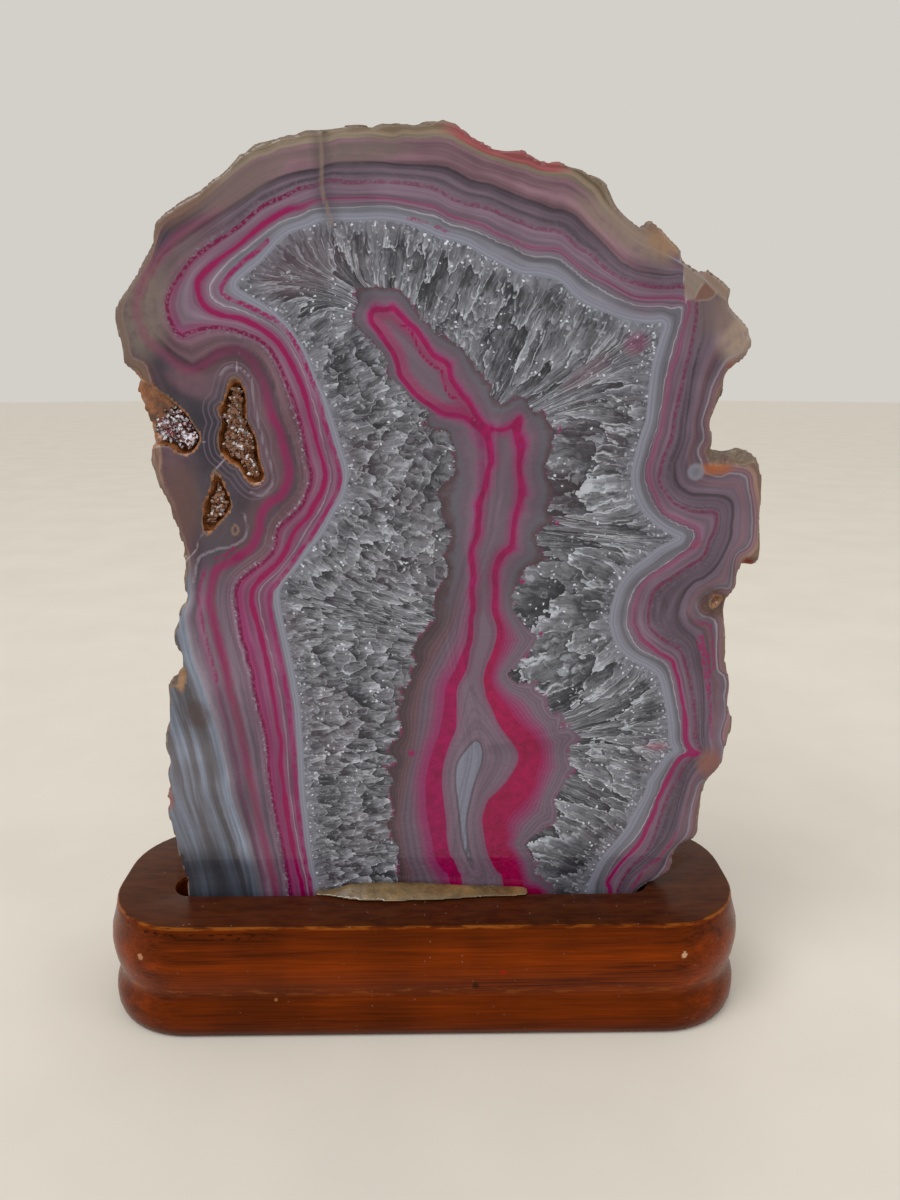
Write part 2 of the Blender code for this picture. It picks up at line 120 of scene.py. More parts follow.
SLATE_LINE = [
    (-36, 16), (-37, 31), (-38.2, 40), (-39.8, 50), (-41, 60), (-41.8, 70), (-43.4, 80),
    (-44.8, 90), (-46.8, 100), (-47.6, 107), (-46.8, 112), (-44.6, 115), (-41.4, 117.5),
    (-38, 120), (-36.8, 122.5), (-36.2, 125), (-34.6, 127.5), (-32.4, 130), (-29.8, 132.5),
    (-28.4, 135), (-28.4, 140), (-29.4, 145), (-31.4, 150), (-32.6, 155), (-33.2, 158.2),
    (-34.4, 160.6), (-35.6, 162.6), (-37.6, 164.6), (-40, 165.8), (-44, 165.8), (-46.8, 164.6),
    (-48.8, 163.4), (-51.2, 162.2), (-52.8, 163), (-55.2, 164.6), (-57.6, 167), (-59.6, 169),
    (-60.4, 171.8), (-60.8, 175), (-59.6, 179), (-56.4, 184.6), (-52, 187.4), (-48, 190),
    (-44, 192.6), (-40, 195), (-36, 197.4), (-34.8, 198.2), (-32, 199.6), (-28.4, 200.8),
    (-24.8, 201.6), (-21.6, 202), (-18.2, 203.2), (-9.8, 203.4), (-5, 203), (0, 202.8),
    (5, 202.4), (8.2, 201.2), (11, 199.8), (15, 199), (19, 197.4), (23, 196), (25.4, 195.4),
    (28.2, 194.2), (31, 193.8), (33.8, 192.4), (36.2, 190.2), (39, 187.8), (41.8, 185),
    (44.2, 183), (47.4, 181.6), (50.6, 181), (55, 180.8), (57.4, 181), (61.4, 177),
    (62.6, 170), (61.4, 163), (60.8, 158), (60.2, 150), (59.8, 145), (59, 142), (58.2, 140),
    (58.2, 137.2), (59, 134.8), (61, 133.2), (63, 132.4), (65.8, 132.4), (69, 132.2),
    (71, 131.6), (72.2, 130.4), (72.6, 128), (72.4, 125.2), (72.4, 122), (70.2, 116.4),
    (67, 112.8), (65, 112), (63, 110), (61.8, 107.6), (61.2, 105), (61, 103), (62.2, 100.2),
    (65, 97.8), (66.2, 95.8), (67.4, 91), (68.2, 87), (68.6, 83), (69, 79), (69.2, 75),
    (69.4, 71.8), (70, 68), (67.5, 65), (66, 62), (65, 58), (64.4, 55), (63.4, 50), (62, 45),
    (60.2, 42), (57.6, 39), (55, 36.5), (52.8, 34), (51.4, 31), (50.8, 28.5), (50.6, 16),
]
OUTER_VEIN = [
    (-35, 16), (-35.2, 31), (-35.6, 35), (-36.2, 40), (-36.8, 45), (-37.6, 50), (-38.2, 55),
    (-38.8, 60), (-39, 65), (-39, 70), (-39.6, 75), (-40.6, 80), (-41.4, 85), (-41.8, 90),
    (-42.6, 92), (-42.8, 95), (-43.6, 97), (-44, 100), (-44.4, 105), (-44.6, 107),
    (-44.4, 110), (-43.2, 112.5), (-40, 115), (-36.8, 117.5), (-34.8, 120), (-34.4, 122),
    (-33.6, 125), (-30.8, 127.5), (-28.2, 130), (-27, 132.5), (-26, 135), (-25.6, 137.5),
    (-26.2, 140), (-27, 145), (-28, 150), (-29.4, 155), (-31.2, 159.8), (-32.4, 162.6),
    (-34, 165.4), (-36, 167), (-38.4, 168.2), (-41.6, 169.2), (-44.8, 169.8), (-48, 169.6),
    (-50.4, 169), (-52.8, 168.2), (-54, 168.4), (-55.4, 171), (-56, 173.4), (-55.8, 175.8),
    (-54.4, 178.6), (-52.4, 181), (-50.4, 183.4), (-47.2, 185.8), (-44, 187.8), (-40, 190.2),
    (-37.6, 192), (-34, 194.8), (-30, 196.4), (-26, 198.2), (-22.4, 199), (-19.8, 200),
    (-15, 199.6), (-9.4, 199.8), (-5, 199.6), (-1, 199.2), (2.2, 198.6), (4.6, 197.6),
    (6.2, 196.6), (9, 195.6), (11.8, 195), (15, 194.4), (17.8, 193.2), (20.2, 192.2),
    (22.6, 191.4), (25, 190.5), (29.8, 189.8), (31.8, 188.6), (34.2, 186.6), (37, 185.2),
    (39, 183.4), (41.8, 181.4), (44.6, 180), (47.4, 179.2), (50.6, 178.6), (53.8, 178.3),
    (58.2, 178.4), (60.6, 176), (61, 172), (60.4, 166), (59.2, 160), (58.8, 157.5),
    (58.4, 155), (58, 152.5), (57.5, 150), (57.4, 147), (57, 145), (56.2, 142.5), (55.6, 141),
    (55, 137.5), (55.2, 135), (57, 132.5), (58.2, 131), (59.8, 130), (62.2, 129),
    (64.6, 128.5), (68.4, 128.4), (69, 126), (68.8, 124), (68, 122.5), (67.4, 121), (67, 119),
    (66, 117.2), (64, 116), (62.6, 115), (61, 114), (59, 112.5), (56.6, 111), (55, 109),
    (54.4, 107), (54.2, 105), (54, 103), (54.4, 101), (55, 100), (56.6, 98.5), (58.6, 97),
    (61.4, 95.5), (62.8, 94), (63.6, 92), (64.2, 90), (65, 87.5), (65.6, 85), (66.2, 82.5),
    (66.6, 80), (67, 77.5), (67.4, 75), (67.6, 72), (68.4, 69.4), (69.4, 68), (67, 66.6),
    (65.2, 64), (64, 61), (62.2, 57.5), (61.4, 55), (60, 50), (58.8, 45), (56.8, 40),
    (54, 37), (52, 34), (50.6, 31), (50, 28.5), (49.6, 16),
]
MAIN_VEIN = [
    (-31.4, 16), (-32, 31), (-32.8, 35), (-33.6, 40), (-34.2, 45), (-34.8, 50), (-35.2, 55),
    (-35.6, 60), (-36, 65), (-35.6, 71), (-36.2, 75), (-36.6, 80), (-37.2, 85), (-37.8, 90),
    (-38.6, 95), (-39.4, 100), (-40.6, 105), (-41, 107), (-40.6, 110), (-38.8, 112.5),
    (-36, 115), (-33.6, 117.5), (-32, 120), (-31, 122.5), (-29.4, 125), (-26.8, 127.5),
    (-25.4, 130), (-23.8, 132.5), (-22.8, 135), (-22.4, 137.5), (-22.8, 140), (-23.4, 142),
    (-24.2, 145), (-24.6, 147), (-25.4, 150), (-26.4, 155), (-27.2, 157.4), (-28.8, 161),
    (-30.4, 164.2), (-32.4, 167), (-34.8, 169), (-37.2, 170.4), (-40, 171.6), (-43.2, 172.2),
    (-46, 173), (-48, 174.6), (-48.8, 176.6), (-49, 179), (-48, 180.6), (-45.6, 182.8),
    (-42.8, 184.8), (-40, 186.6), (-37.6, 188.4), (-35.2, 190.2), (-33.2, 191.6),
    (-30.4, 193.2), (-28, 194.2), (-25.6, 194.6), (-22, 196), (-15, 196.4), (-9, 196.4),
    (-5, 196), (-1, 195.4), (3, 194.6), (6.2, 193), (9.8, 192), (13.4, 191), (15.8, 189.6),
    (19, 188.4), (22.2, 187), (25.4, 186.4), (30.2, 186), (33, 183.8), (35.8, 181.8),
    (38.2, 180.6), (41.8, 179), (45, 177.2), (47.4, 176.2), (52, 176), (57, 176),
    (59.4, 174.6), (58.6, 171), (57.6, 166.5), (57, 163.4), (55.8, 160), (55.6, 157.5),
    (55.4, 155), (55, 152), (54.8, 150), (54.4, 147), (53.6, 145), (53.2, 142.5), (52.4, 140),
    (52.2, 137.5), (52.8, 135), (54, 132.5), (55.2, 130), (56.6, 128), (59, 127), (61, 126),
    (63, 125.2), (64.8, 123.6), (64.6, 121), (62.2, 119), (59.8, 117), (57, 115),
    (53.4, 112.5), (51.6, 110), (50.8, 107), (50.4, 105), (50.4, 101.5), (51.2, 100),
    (52.6, 97.5), (55.8, 95), (57, 94), (60.4, 92), (61.2, 90), (62.2, 87.5), (62.8, 85),
    (63.4, 82.5), (64, 80), (64.5, 77.5), (64.8, 75), (65, 72), (65.6, 70), (67, 68.2),
    (68.6, 67.4), (65, 67), (63.2, 65), (62, 62.5), (61, 60), (60, 57.5), (59, 55),
    (58.6, 52.5), (57.8, 50), (56.8, 47.5), (56, 45), (54.8, 42.5), (52.8, 40), (50.6, 37.5),
    (49, 35), (47.6, 32.5), (47.2, 31), (48, 29), (47.6, 16),
]
WHITE_LINE = [
    (-30.2, 16), (-30.8, 31), (-32.2, 40), (-33.4, 50), (-34.2, 60), (-34.4, 70), (-35, 80),
    (-35.6, 85), (-36.4, 90), (-37.4, 95), (-38.4, 100), (-39.2, 105), (-39, 110), (-34, 115),
    (-30, 120), (-27, 125), (-23.6, 130), (-21.7, 135), (-21.4, 137.5), (-21.8, 140),
    (-23, 145), (-23.8, 150), (-25.2, 155), (-26.6, 160), (-28.4, 164), (-30.5, 167.5),
    (-33, 170), (-37, 172), (-41, 173.6), (-44, 174.4), (-46.2, 176), (-46.4, 178.6),
    (-44, 181.6), (-41, 184.4), (-38, 186.4), (-35.5, 188.2), (-33, 190), (-30, 191.8),
    (-26, 193), (-22.6, 194.4), (-15, 194.6), (-9, 195), (-5.8, 194.8), (-2.6, 194.2),
    (0.6, 193.4), (3.8, 192.8), (6.2, 191.4), (9, 190.8), (11.8, 190), (15, 188.8),
    (17.4, 187.6), (19.8, 187), (22.2, 185.6), (24.6, 184.8), (27.8, 184.8), (30.2, 184.4),
    (32.6, 182.8), (35, 181), (36.6, 179.8), (39.4, 178.2), (42.2, 176.6), (45, 175.6),
    (47.4, 174.8), (50.6, 174.4), (53, 174.6), (55.4, 174), (57.8, 174.2), (57.8, 171),
    (57, 167.8), (56.4, 165.4), (55.4, 160), (54.9, 155), (54.1, 150), (53.6, 147), (53, 145),
    (52.4, 142.5), (51.8, 140), (51.6, 137.5), (52, 135), (53, 132.5), (54.4, 130),
    (57, 127.5), (59.4, 126), (62.2, 125), (63.8, 124), (64.2, 122.5), (63, 120.5),
    (62.4, 119.5), (60.2, 118), (56.4, 115), (52.6, 112.5), (50.6, 110), (49.6, 107.5),
    (49.2, 105), (49, 101.5), (49.4, 100), (50.6, 97.5), (52.6, 95), (56.6, 93), (58.6, 92),
    (60, 90), (60.8, 87.5), (61.4, 85), (62, 82.5), (62.6, 80), (63.2, 77.5), (63.7, 75),
    (64, 72), (64.4, 70), (65.2, 68.8), (65.6, 67.8), (63.4, 67), (62.2, 65), (61, 62.5),
    (60, 60), (59.4, 57), (58.4, 55), (57.6, 52.5), (56.8, 50), (55.8, 47.5), (54.4, 45),
    (52.6, 42.5), (50.4, 40), (48.8, 37.5), (47.6, 35), (46.8, 33), (46.6, 30), (46.6, 16),
]
QUARTZ_EDGE = [
    (-27, 16), (-27.6, 31), (-28.4, 35), (-29, 40), (-29.4, 45), (-29.6, 50), (-30, 55),
    (-30.2, 60), (-30.2, 70), (-30.4, 80), (-31, 85), (-31.6, 90), (-32.4, 95), (-33.2, 100),
    (-34, 105), (-34.2, 107), (-34, 110), (-32.4, 112.5), (-30, 115), (-28, 117.5),
    (-26.2, 120), (-24, 122.5), (-22.4, 125), (-21, 127.5), (-19.5, 130), (-18, 132.5),
    (-17.4, 135), (-17, 137.5), (-17.3, 140), (-18, 142), (-18.8, 145), (-20.2, 150),
    (-21.8, 155), (-23.6, 159), (-24.8, 162.6), (-26, 165.4), (-27.6, 167.8), (-29.6, 170.6),
    (-32, 173), (-34.8, 175), (-37.6, 176.6), (-40.4, 178.6), (-38, 181), (-35.2, 183),
    (-32.8, 185.4), (-30.4, 187.8), (-28, 189.4), (-24, 190.6), (-21.8, 191.6), (-17, 191.8),
    (-13, 191.8), (-9, 192), (-5, 191.6), (-1.8, 190.8), (1, 189.8), (3.8, 188.6),
    (7, 187.8), (10.2, 186.8), (13, 185.2), (15.8, 183.8), (19, 182.2), (22.2, 181),
    (25.4, 180.8), (28.6, 180.2), (31, 179), (33, 177), (35.8, 175), (39, 173.6),
    (42.2, 172.4), (45.4, 171.4), (48.6, 170.8), (51, 170.6), (53.8, 170.6), (53, 167),
    (52.2, 163.8), (51.6, 160.6), (51.2, 155), (51, 150), (50.2, 147), (49.6, 145), (49, 142),
    (48.5, 140), (48.2, 137), (48.4, 135), (49.2, 132.5), (50.4, 130), (52.2, 127.5),
    (55, 125), (57.4, 123.5), (59.4, 122.5), (60, 122.3), (58.2, 121.5), (55.4, 120),
    (53, 118), (49.4, 115), (47.4, 112.5), (46, 110), (45.2, 107), (44.8, 105),
    (44.6, 101.5), (45, 100), (45.6, 98), (47.2, 95), (50, 92.5), (52.6, 91), (54.6, 90),
    (57, 88), (58.2, 85), (59, 82), (59.5, 80), (60, 77.5), (60.4, 75), (60.8, 72),
    (61.2, 70), (62, 68.4), (60.4, 67.5), (59, 65), (57.6, 62.5), (56.2, 60), (55.7, 57.5),
    (54.8, 55), (53.6, 52.5), (52.4, 50), (51.4, 47.5), (49.8, 45), (48, 42.5), (46.2, 40),
    (44.6, 37.5), (43.6, 35), (42.6, 32.5), (42, 30), (41.8, 16),
]
BAND_LINES = [RIND_LINE, SLATE_LINE, OUTER_VEIN, MAIN_VEIN, WHITE_LINE, QUARTZ_EDGE]

# Veins that don't close on themselves
SOFT_VEIN = [
    (-29.8, 20), (-29.8, 31), (-30.4, 35), (-31, 40), (-31.6, 45), (-32, 50), (-32.2, 55),
    (-32.4, 65), (-32.6, 70), (-33, 75), (-33.2, 80), (-33.8, 86), (-34.4, 90), (-35.2, 95),
    (-36, 100), (-36.6, 105), (-36.6, 107), (-36, 110), (-34.4, 112), (-32, 115),
    (-30.2, 117.5), (-28.4, 120), (-26.4, 122.5), (-24.8, 125), (-23.2, 127.5),
    (-21.8, 130), (-20.4, 132), (-19.3, 135), (-19, 137.5), (-19.5, 140), (-20.2, 142.5),
    (-21, 145), (-22.4, 150), (-23.4, 155), (-24.4, 157.4), (-26, 161.8), (-27.6, 165.4),
    (-29.6, 168.6), (-32, 171), (-34.8, 172.6), (-37.6, 174), (-40, 175), (-42.4, 176),
    (-44, 177.8), (-41.6, 181), (-38.4, 183.8), (-36, 185.4), (-33.2, 187.8),
]
EDGE_VEIN = [
    (-38, 20), (-38.8, 31), (-39.6, 35), (-40.4, 40), (-41.4, 45), (-42.2, 50), (-42.6, 55),
    (-43.4, 60), (-44.2, 65), (-45, 70), (-45.6, 75), (-46.4, 80), (-47.6, 85), (-48, 90),
    (-49, 95), (-49.8, 100), (-50.8, 105), (-51, 107), (-50.6, 110), (-49.8, 112.5),
    (-48.8, 115), (-47.2, 116), (-45.2, 117), (-42.8, 118.5), (-40.6, 120), (-39, 122.5),
    (-38.2, 125), (-37.8, 127.5), (-36.4, 130), (-35.2, 131), (-32.8, 132.5), (-31.4, 135),
    (-30.8, 137.5), (-31, 140), (-31.4, 142.5), (-32, 145), (-32.4, 147), (-33.8, 150),
    (-35, 155), (-35.6, 158.2), (-36.8, 160.2), (-37.6, 162.2), (-40, 164.6), (-42, 165),
    (-44.8, 164.6), (-46.4, 163.4), (-48.4, 162.2), (-50.4, 161), (-52.8, 161),
    (-55.6, 162.6), (-57.6, 164.2), (-59.6, 165.8), (-61.2, 167.8), (-62, 169.8),
    (-62.8, 173), (-61.6, 178), (-58, 183), (-53, 188.5), (-48.8, 191), (-46, 192.2),
    (-44, 193.8), (-40.8, 195.4), (-38, 197), (-35.2, 199),
]
THIN_VEINS = [
    [(-44, 120.5), (-46.4, 118.5), (-49.2, 117.7)],
    [(-51.4, 115), (-52.4, 112.5), (-53.4, 110), (-53.4, 107), (-53, 103), (-52.6, 100),
     (-51.8, 95), (-50.8, 90), (-50.4, 87)],
    [(65.8, 101.8), (67.4, 101.2), (69.2, 100.8), (69.6, 99), (70, 97), (70.4, 95),
     (70.6, 92.6), (71, 90)],
    [(64.2, 46), (63.2, 43), (61.2, 40), (60.4, 38.5), (58.4, 37), (56.4, 35),
     (55.2, 32.5), (54, 30)],
    [(15.5, 80), (17.6, 76), (20.5, 68.5)],
    [(-2.6, 192.4), (1.2, 191.6)],
    [(3.2, 190.8), (6, 189.6)],
]
BLOTCHED_VEIN = [
    (67, 97.8), (67.4, 95.8), (68.2, 93.8), (68.8, 91), (69.4, 87.8), (70, 84.2), (70.6, 81),
    (71, 77), (71.4, 71.8),
]

# The figure in the quartz: its ragged edge, its red line and the spindle at its heart
FIGURE_EDGE = [
    (-7, 16), (-7.2, 34.8), (-6.8, 37.6), (-7.6, 40), (-6.8, 41.6), (-8.4, 44), (-8.8, 46),
    (-10, 48.8), (-8.8, 50.2), (-8, 52), (-8.4, 54), (-9.2, 58.2), (-8.2, 60.2),
    (-8.6, 62.2), (-10, 64.2), (-7, 65.4), (-8.8, 67.8), (-8.8, 70.6), (-6, 72.6),
    (-6, 75.8), (-6.8, 79), (-5.2, 83), (-6.8, 85), (-3.6, 86.2), (-3.6, 89), (-2, 91.8),
    (-3.2, 94.2), (-2, 97.4), (-0.4, 99), (1.2, 101), (2.4, 102.4), (2.4, 106),
    (2.8, 108.8), (4, 111.2), (5.6, 114), (4.8, 118), (6, 120.4), (6.4, 123.2), (6, 125.2),
    (4, 128.8), (4.2, 130.4), (3.2, 132.4), (4, 134.4), (7.2, 137.6), (6.8, 140),
    (7.2, 143.2), (5.2, 146.8), (2, 147.5), (0, 149), (1.6, 151), (-0.8, 152.6), (-3, 155),
    (-5.6, 157.6), (-7.6, 159), (-7.8, 162), (-9.6, 165), (-12, 167.6), (-15.4, 171),
    (-14.4, 175), (-13.8, 178.2), (-9, 178.4), (-5, 177.8), (-3.4, 176.6), (-2, 174.6),
    (-0.6, 172.4), (1.6, 170.4), (5, 168), (9.4, 165.6), (10.8, 164), (11.8, 161.8),
    (14.2, 159), (15.8, 157.2), (16, 155.2), (17.6, 153.6), (20, 154), (22, 155.2),
    (24, 154), (25.4, 151.4), (27.4, 151.6), (29.4, 148.4), (31, 147.2), (30.2, 145.6),
    (29.4, 142), (28.6, 138), (29.8, 135.2), (31, 133), (29.4, 130.4), (30.2, 127.2),
    (31.4, 126), (28.6, 124.8), (26.6, 123.6), (27, 121.6), (28.2, 119.2), (28.8, 117.6),
    (27, 116), (25.2, 115.6), (23.6, 114), (22.8, 112), (22, 110.4), (21.2, 108.4),
    (22, 104.4), (23.6, 102), (25.2, 100.4), (27.2, 99), (28.4, 99), (26.8, 96.2),
    (24, 92.6), (22, 90.2), (20.6, 88.6), (22.4, 86.6), (24.8, 86.4), (27.4, 86.2),
    (27.2, 84.6), (29.8, 83), (30.6, 82.2), (30.2, 80.6), (31.8, 78.2), (34, 79),
    (34.6, 77.4), (33.8, 74.2), (35.4, 75), (37.4, 73.8), (39, 71.8), (37, 70),
    (35.8, 68.6), (36.2, 65.8), (37.8, 63.4), (36.4, 62.4), (35.8, 61), (35, 59),
    (33.4, 56.6), (32.8, 54.8), (33.6, 52), (33.2, 48.4), (30.6, 47.6), (28.8, 45.6),
    (25.6, 42.8), (26.4, 40.8), (28.4, 38), (28.6, 34.8), (30, 33.2), (32.4, 31.2),
    (34, 29.2), (35, 16),
]
RED_LINE_LEFT = [
    (7, 16), (6, 33), (4.8, 35), (3.2, 37.5), (2.2, 40), (2, 42), (1.6, 45), (0.6, 50),
    (0.2, 55), (0.2, 60), (1, 65), (2.4, 70), (3.4, 72.5), (4, 75), (4.8, 80), (5.2, 85),
    (6.4, 88), (7.6, 90), (8.6, 92.6), (9.6, 95), (10.3, 97), (10.7, 100), (10.8, 102.8),
    (11.2, 105), (11.1, 107.6), (10.9, 110), (11.3, 112.8), (11.1, 115), (10.8, 118),
    (11, 120), (11.6, 121.6), (12.3, 124), (12.2, 126), (12.5, 128), (12.3, 130), (13, 132),
    (13.8, 134), (14.2, 136), (14.6, 138.4), (15.2, 140), (14.9, 142.8), (14.2, 145.2),
    (13.2, 146.8), (11.4, 148.3), (10, 149.6), (8, 150.2), (6, 150.4), (4, 151),
    (1.6, 152.5), (-0.4, 153.8), (-2.6, 155.8), (-4.2, 157.8), (-5.4, 159.4), (-5.8, 161.4),
    (-6.6, 163.8), (-8.2, 166.2), (-9.8, 168.6), (-11.4, 170.6), (-11.8, 172.6),
]
RED_LINE_RIGHT = [
    (-11, 173.6), (-10.2, 174.2), (-8.2, 174), (-6.4, 174.5), (-5.8, 174.2), (-4.2, 172.6),
    (-2.6, 171), (-1, 169.8), (1, 167), (3, 164.2), (6.2, 162.2), (7, 159), (8.6, 156.6),
    (9.8, 155), (10.8, 154), (12, 152), (13, 150.4), (14.4, 148.8), (16, 148),
    (17.6, 147.7), (19.2, 148), (20.4, 148.8), (21.4, 150), (22.6, 150.4), (22.6, 148),
    (22.4, 146.4), (23.4, 145.2), (23.4, 142.4), (22.8, 140), (22.9, 137.6), (23.4, 135.2),
    (23.8, 132.8), (23, 130.8), (22.3, 128), (21.8, 125.6), (21.6, 124), (21.6, 122),
    (21.2, 119.6), (19.8, 118.6), (18.7, 117), (18, 115.6), (17.6, 113.6), (17.7, 110.8),
    (17.7, 108.4), (17.6, 106), (17.8, 104), (18.6, 101.6), (19, 100), (18.9, 97.8),
    (18.3, 95.4), (17.4, 93), (16.8, 91), (16.2, 88.6), (16.2, 87), (16.8, 85), (18.4, 82.5),
    (20.4, 80), (22, 77.5), (24, 75), (26.8, 72.5), (28.2, 70), (28.8, 67.5), (28.8, 65),
    (27.8, 62.5), (27.6, 60), (26.8, 57.5), (25, 55), (22.8, 52.5), (20.8, 50), (20.4, 47.5),
    (21, 45), (20.4, 42.5), (22.4, 40), (23.2, 37.5), (24, 35), (24.8, 32.5), (26, 30),
    (30, 28.4), (30, 16),
]
RED_LINE_INSIDE = [
    (10, 16), (9.2, 33), (8.4, 35), (7.6, 37.5), (6.2, 40), (5.8, 42), (5.4, 45), (5.2, 50),
    (4.6, 55), (4.2, 60), (4.6, 65), (6, 70), (7, 72.5), (7.8, 75), (7.9, 80), (8, 85),
    (9.4, 88), (10.3, 90), (10.8, 92.6), (11.1, 95), (11.7, 97), (11.9, 100), (11.9, 102.8),
    (12.4, 105), (12.3, 107.6), (12.1, 110), (12.5, 112.8), (12.3, 115), (12, 118),
    (12, 120), (12.8, 121.6), (13.5, 124), (13.4, 126), (13.7, 128), (13.6, 130),
    (14.2, 132), (15, 134), (15.3, 136), (15.7, 138.4), (16.4, 140), (16.2, 142.8),
    (15.8, 145.2), (15.6, 146.8), (16.4, 147.3), (17.6, 147), (19.2, 147.2), (20.4, 147.9),
    (20.8, 147), (21.2, 145), (21.8, 142.4), (21.7, 140), (21.9, 137.6), (22.2, 135.2),
    (22.2, 132.8), (22, 130.8), (21.2, 128), (20.9, 125.6), (20.7, 124), (20.6, 122),
    (20.2, 120.4), (19, 119.6), (17.8, 118.4), (17, 116.6), (16.4, 113.6), (16.6, 110.8),
    (16.6, 108.4), (16.4, 106), (16.6, 104), (17.4, 101.6), (17.7, 100), (17.6, 97.8),
    (17, 95.4), (16.2, 93), (15.3, 91), (14.7, 88.6), (14.6, 87), (14.9, 85), (15.4, 82.5),
    (16.6, 80), (17.6, 77.5), (18.8, 75), (20.6, 72.5), (22.4, 70), (23.5, 67.5),
    (23.2, 65), (22, 62.5), (20.5, 60), (18.4, 57.5), (16, 55), (15.2, 52.5), (14.6, 50),
    (14.8, 47.5), (15.2, 45), (15.6, 42.5), (16.2, 40), (17.2, 37.5), (18.6, 35), (20, 32.5),
    (21, 16),
]
HALO_INSIDE = [
    (-4, 34.8), (-5.2, 38), (-6, 42), (-6.8, 50), (-6, 54.4), (-5.2, 59), (-4.4, 63),
    (-2.8, 69), (-2, 75), (-1.6, 79), (-1.2, 83), (-0.4, 87), (1.6, 91), (3.6, 95),
    (5.2, 97.8), (7.2, 101.8), (8.4, 106), (9.2, 110), (9.4, 118), (9, 122), (9.4, 126),
    (9.6, 130), (10.4, 133.6), (10, 136.8), (9.2, 141.2), (7.6, 145.2),
]
SPINDLE = [
    (13, 71.4), (10.4, 69), (8.4, 65.8), (7.8, 63), (7.8, 59), (8.2, 55.8), (8.6, 52),
    (9, 48), (9.4, 44), (10.2, 40.8), (11.2, 38.4), (12.4, 35.6), (11.4, 40), (11, 41.6),
    (10.6, 44.8), (10.4, 48), (10.6, 51.2), (11.2, 54.4), (11.8, 57.4), (12.6, 60.2),
    (13.6, 63.4), (14.2, 65.4), (14.4, 68.6),
]
ARM_LINE = [
    (-5, 170.6), (-2.6, 169.4), (-1.4, 167), (-0.2, 164.2), (2.2, 161.8), (4.6, 160.2),
    (5, 157.4), (6.2, 155), (7.6, 154.4),
]

# Rims of the hollows
TALL_HOLLOW = [
    (-42.2, 159.1), (-41.4, 158.6), (-40.4, 156.8), (-40, 155.4), (-40, 152.4),
    (-40.2, 150.2), (-39.4, 148.4), (-38.6, 146.8), (-37.9, 145), (-37.9, 142.4),
    (-37.6, 140.6), (-37.2, 139.4), (-36.8, 137.6), (-36.8, 136.2), (-38.6, 135),
    (-39.6, 135.2), (-41.2, 137.2), (-42.4, 139.6), (-43.4, 139.5), (-45, 141.4),
    (-46.2, 142.4), (-46.6, 144), (-46.5, 146), (-45.8, 147.8), (-45.2, 149.4), (-46, 151),
    (-46.2, 152.4), (-45, 152.8), (-44.4, 154.4), (-43.8, 156.4), (-43, 158.6),
]
EDGE_HOLLOW = [
    (-69, 160.6), (-63.7, 159.2), (-61.2, 157.4), (-58.2, 155.2), (-56.2, 153.4),
    (-53.8, 151.4), (-52.2, 148.6), (-50.7, 146.1), (-51, 144.6), (-52, 143.2),
    (-53.2, 142.2), (-54.6, 141.9), (-55.8, 142.4), (-57, 143.4), (-58.4, 144),
    (-60, 144.1), (-67, 144.3),
]
SMALL_HOLLOW = [
    (-47.8, 138.5), (-46.6, 136.4), (-46, 134.6), (-45.2, 132.6), (-44.5, 130.6),
    (-44.8, 129.4), (-46.6, 127.2), (-48, 125.8), (-49.2, 124.4), (-50.4, 123.4),
    (-51, 123.8), (-51.4, 126), (-51, 128), (-50.8, 130.6), (-49.4, 132.4), (-49, 134.2),
    (-48.4, 136.2),
]
TINY_PIT = [
    (-44.4, 125.2), (-43.6, 125.6), (-43.2, 124.8), (-43.4, 123.6), (-44.2, 123.4),
    (-44.6, 124.2),
]
EYE_PIT = [
    (70.4, 108.4), (71.2, 108.2), (71.3, 107.4), (70.8, 106.2), (69.9, 105.4), (69, 105.4),
    (68.8, 106.2), (69.3, 107.5),
]
HOLLOWS = [TALL_HOLLOW, EDGE_HOLLOW, SMALL_HOLLOW, TINY_PIT, EYE_PIT]

# White lines round the hollows, hairline cracks and the plates at the cracked corner
LOOP_LINES = [
    [(-38.4, 159), (-38, 155), (-37.4, 150), (-36.4, 145), (-35, 140), (-34.4, 137),
     (-34.8, 135), (-36.4, 133), (-38, 132.5), (-40, 133.5)],
    [(-45.2, 159.4), (-44, 161), (-42, 161.6), (-40, 160.6), (-38.4, 159)],
    [(-42, 128.8), (-41.2, 126.8), (-41, 124.8), (-41.6, 122.8), (-43.2, 121.4),
     (-45.6, 120.4), (-48, 120), (-52, 118.4), (-53.2, 116.8), (-54.4, 112)],
]
CRACKS = [
    [(-40.8, 164.6), (-41.6, 160)],
    [(-45.2, 141.2), (-47, 139), (-48, 138.5)],
    [(-51, 123.9), (-52.4, 122.6), (-52.8, 120.8), (-54, 118.8), (-55.4, 117.6), (-56, 116.9)],
    [(56.9, 185), (58.8, 175)],
    [(-50.6, 145), (-49.6, 144.8)],
]
OPEN_SEAM = [(-21.4, 211), (-21, 205), (-21.2, 199), (-20.6, 196), (-19, 191)]
GREY_PLATE = [(57.4, 184.8), (62, 181), (62.4, 179.4), (60.6, 176), (58.4, 175.6)]
AMBER_PLATE = [
    (61.8, 181.8), (63.4, 182.2), (68.8, 177.8), (68, 175.4), (64, 178), (62.4, 180),
]
BROWN_PLATE = [(60.2, 175.4), (64, 175.8), (65.6, 177.2), (62.6, 179.8), (61.2, 178)]

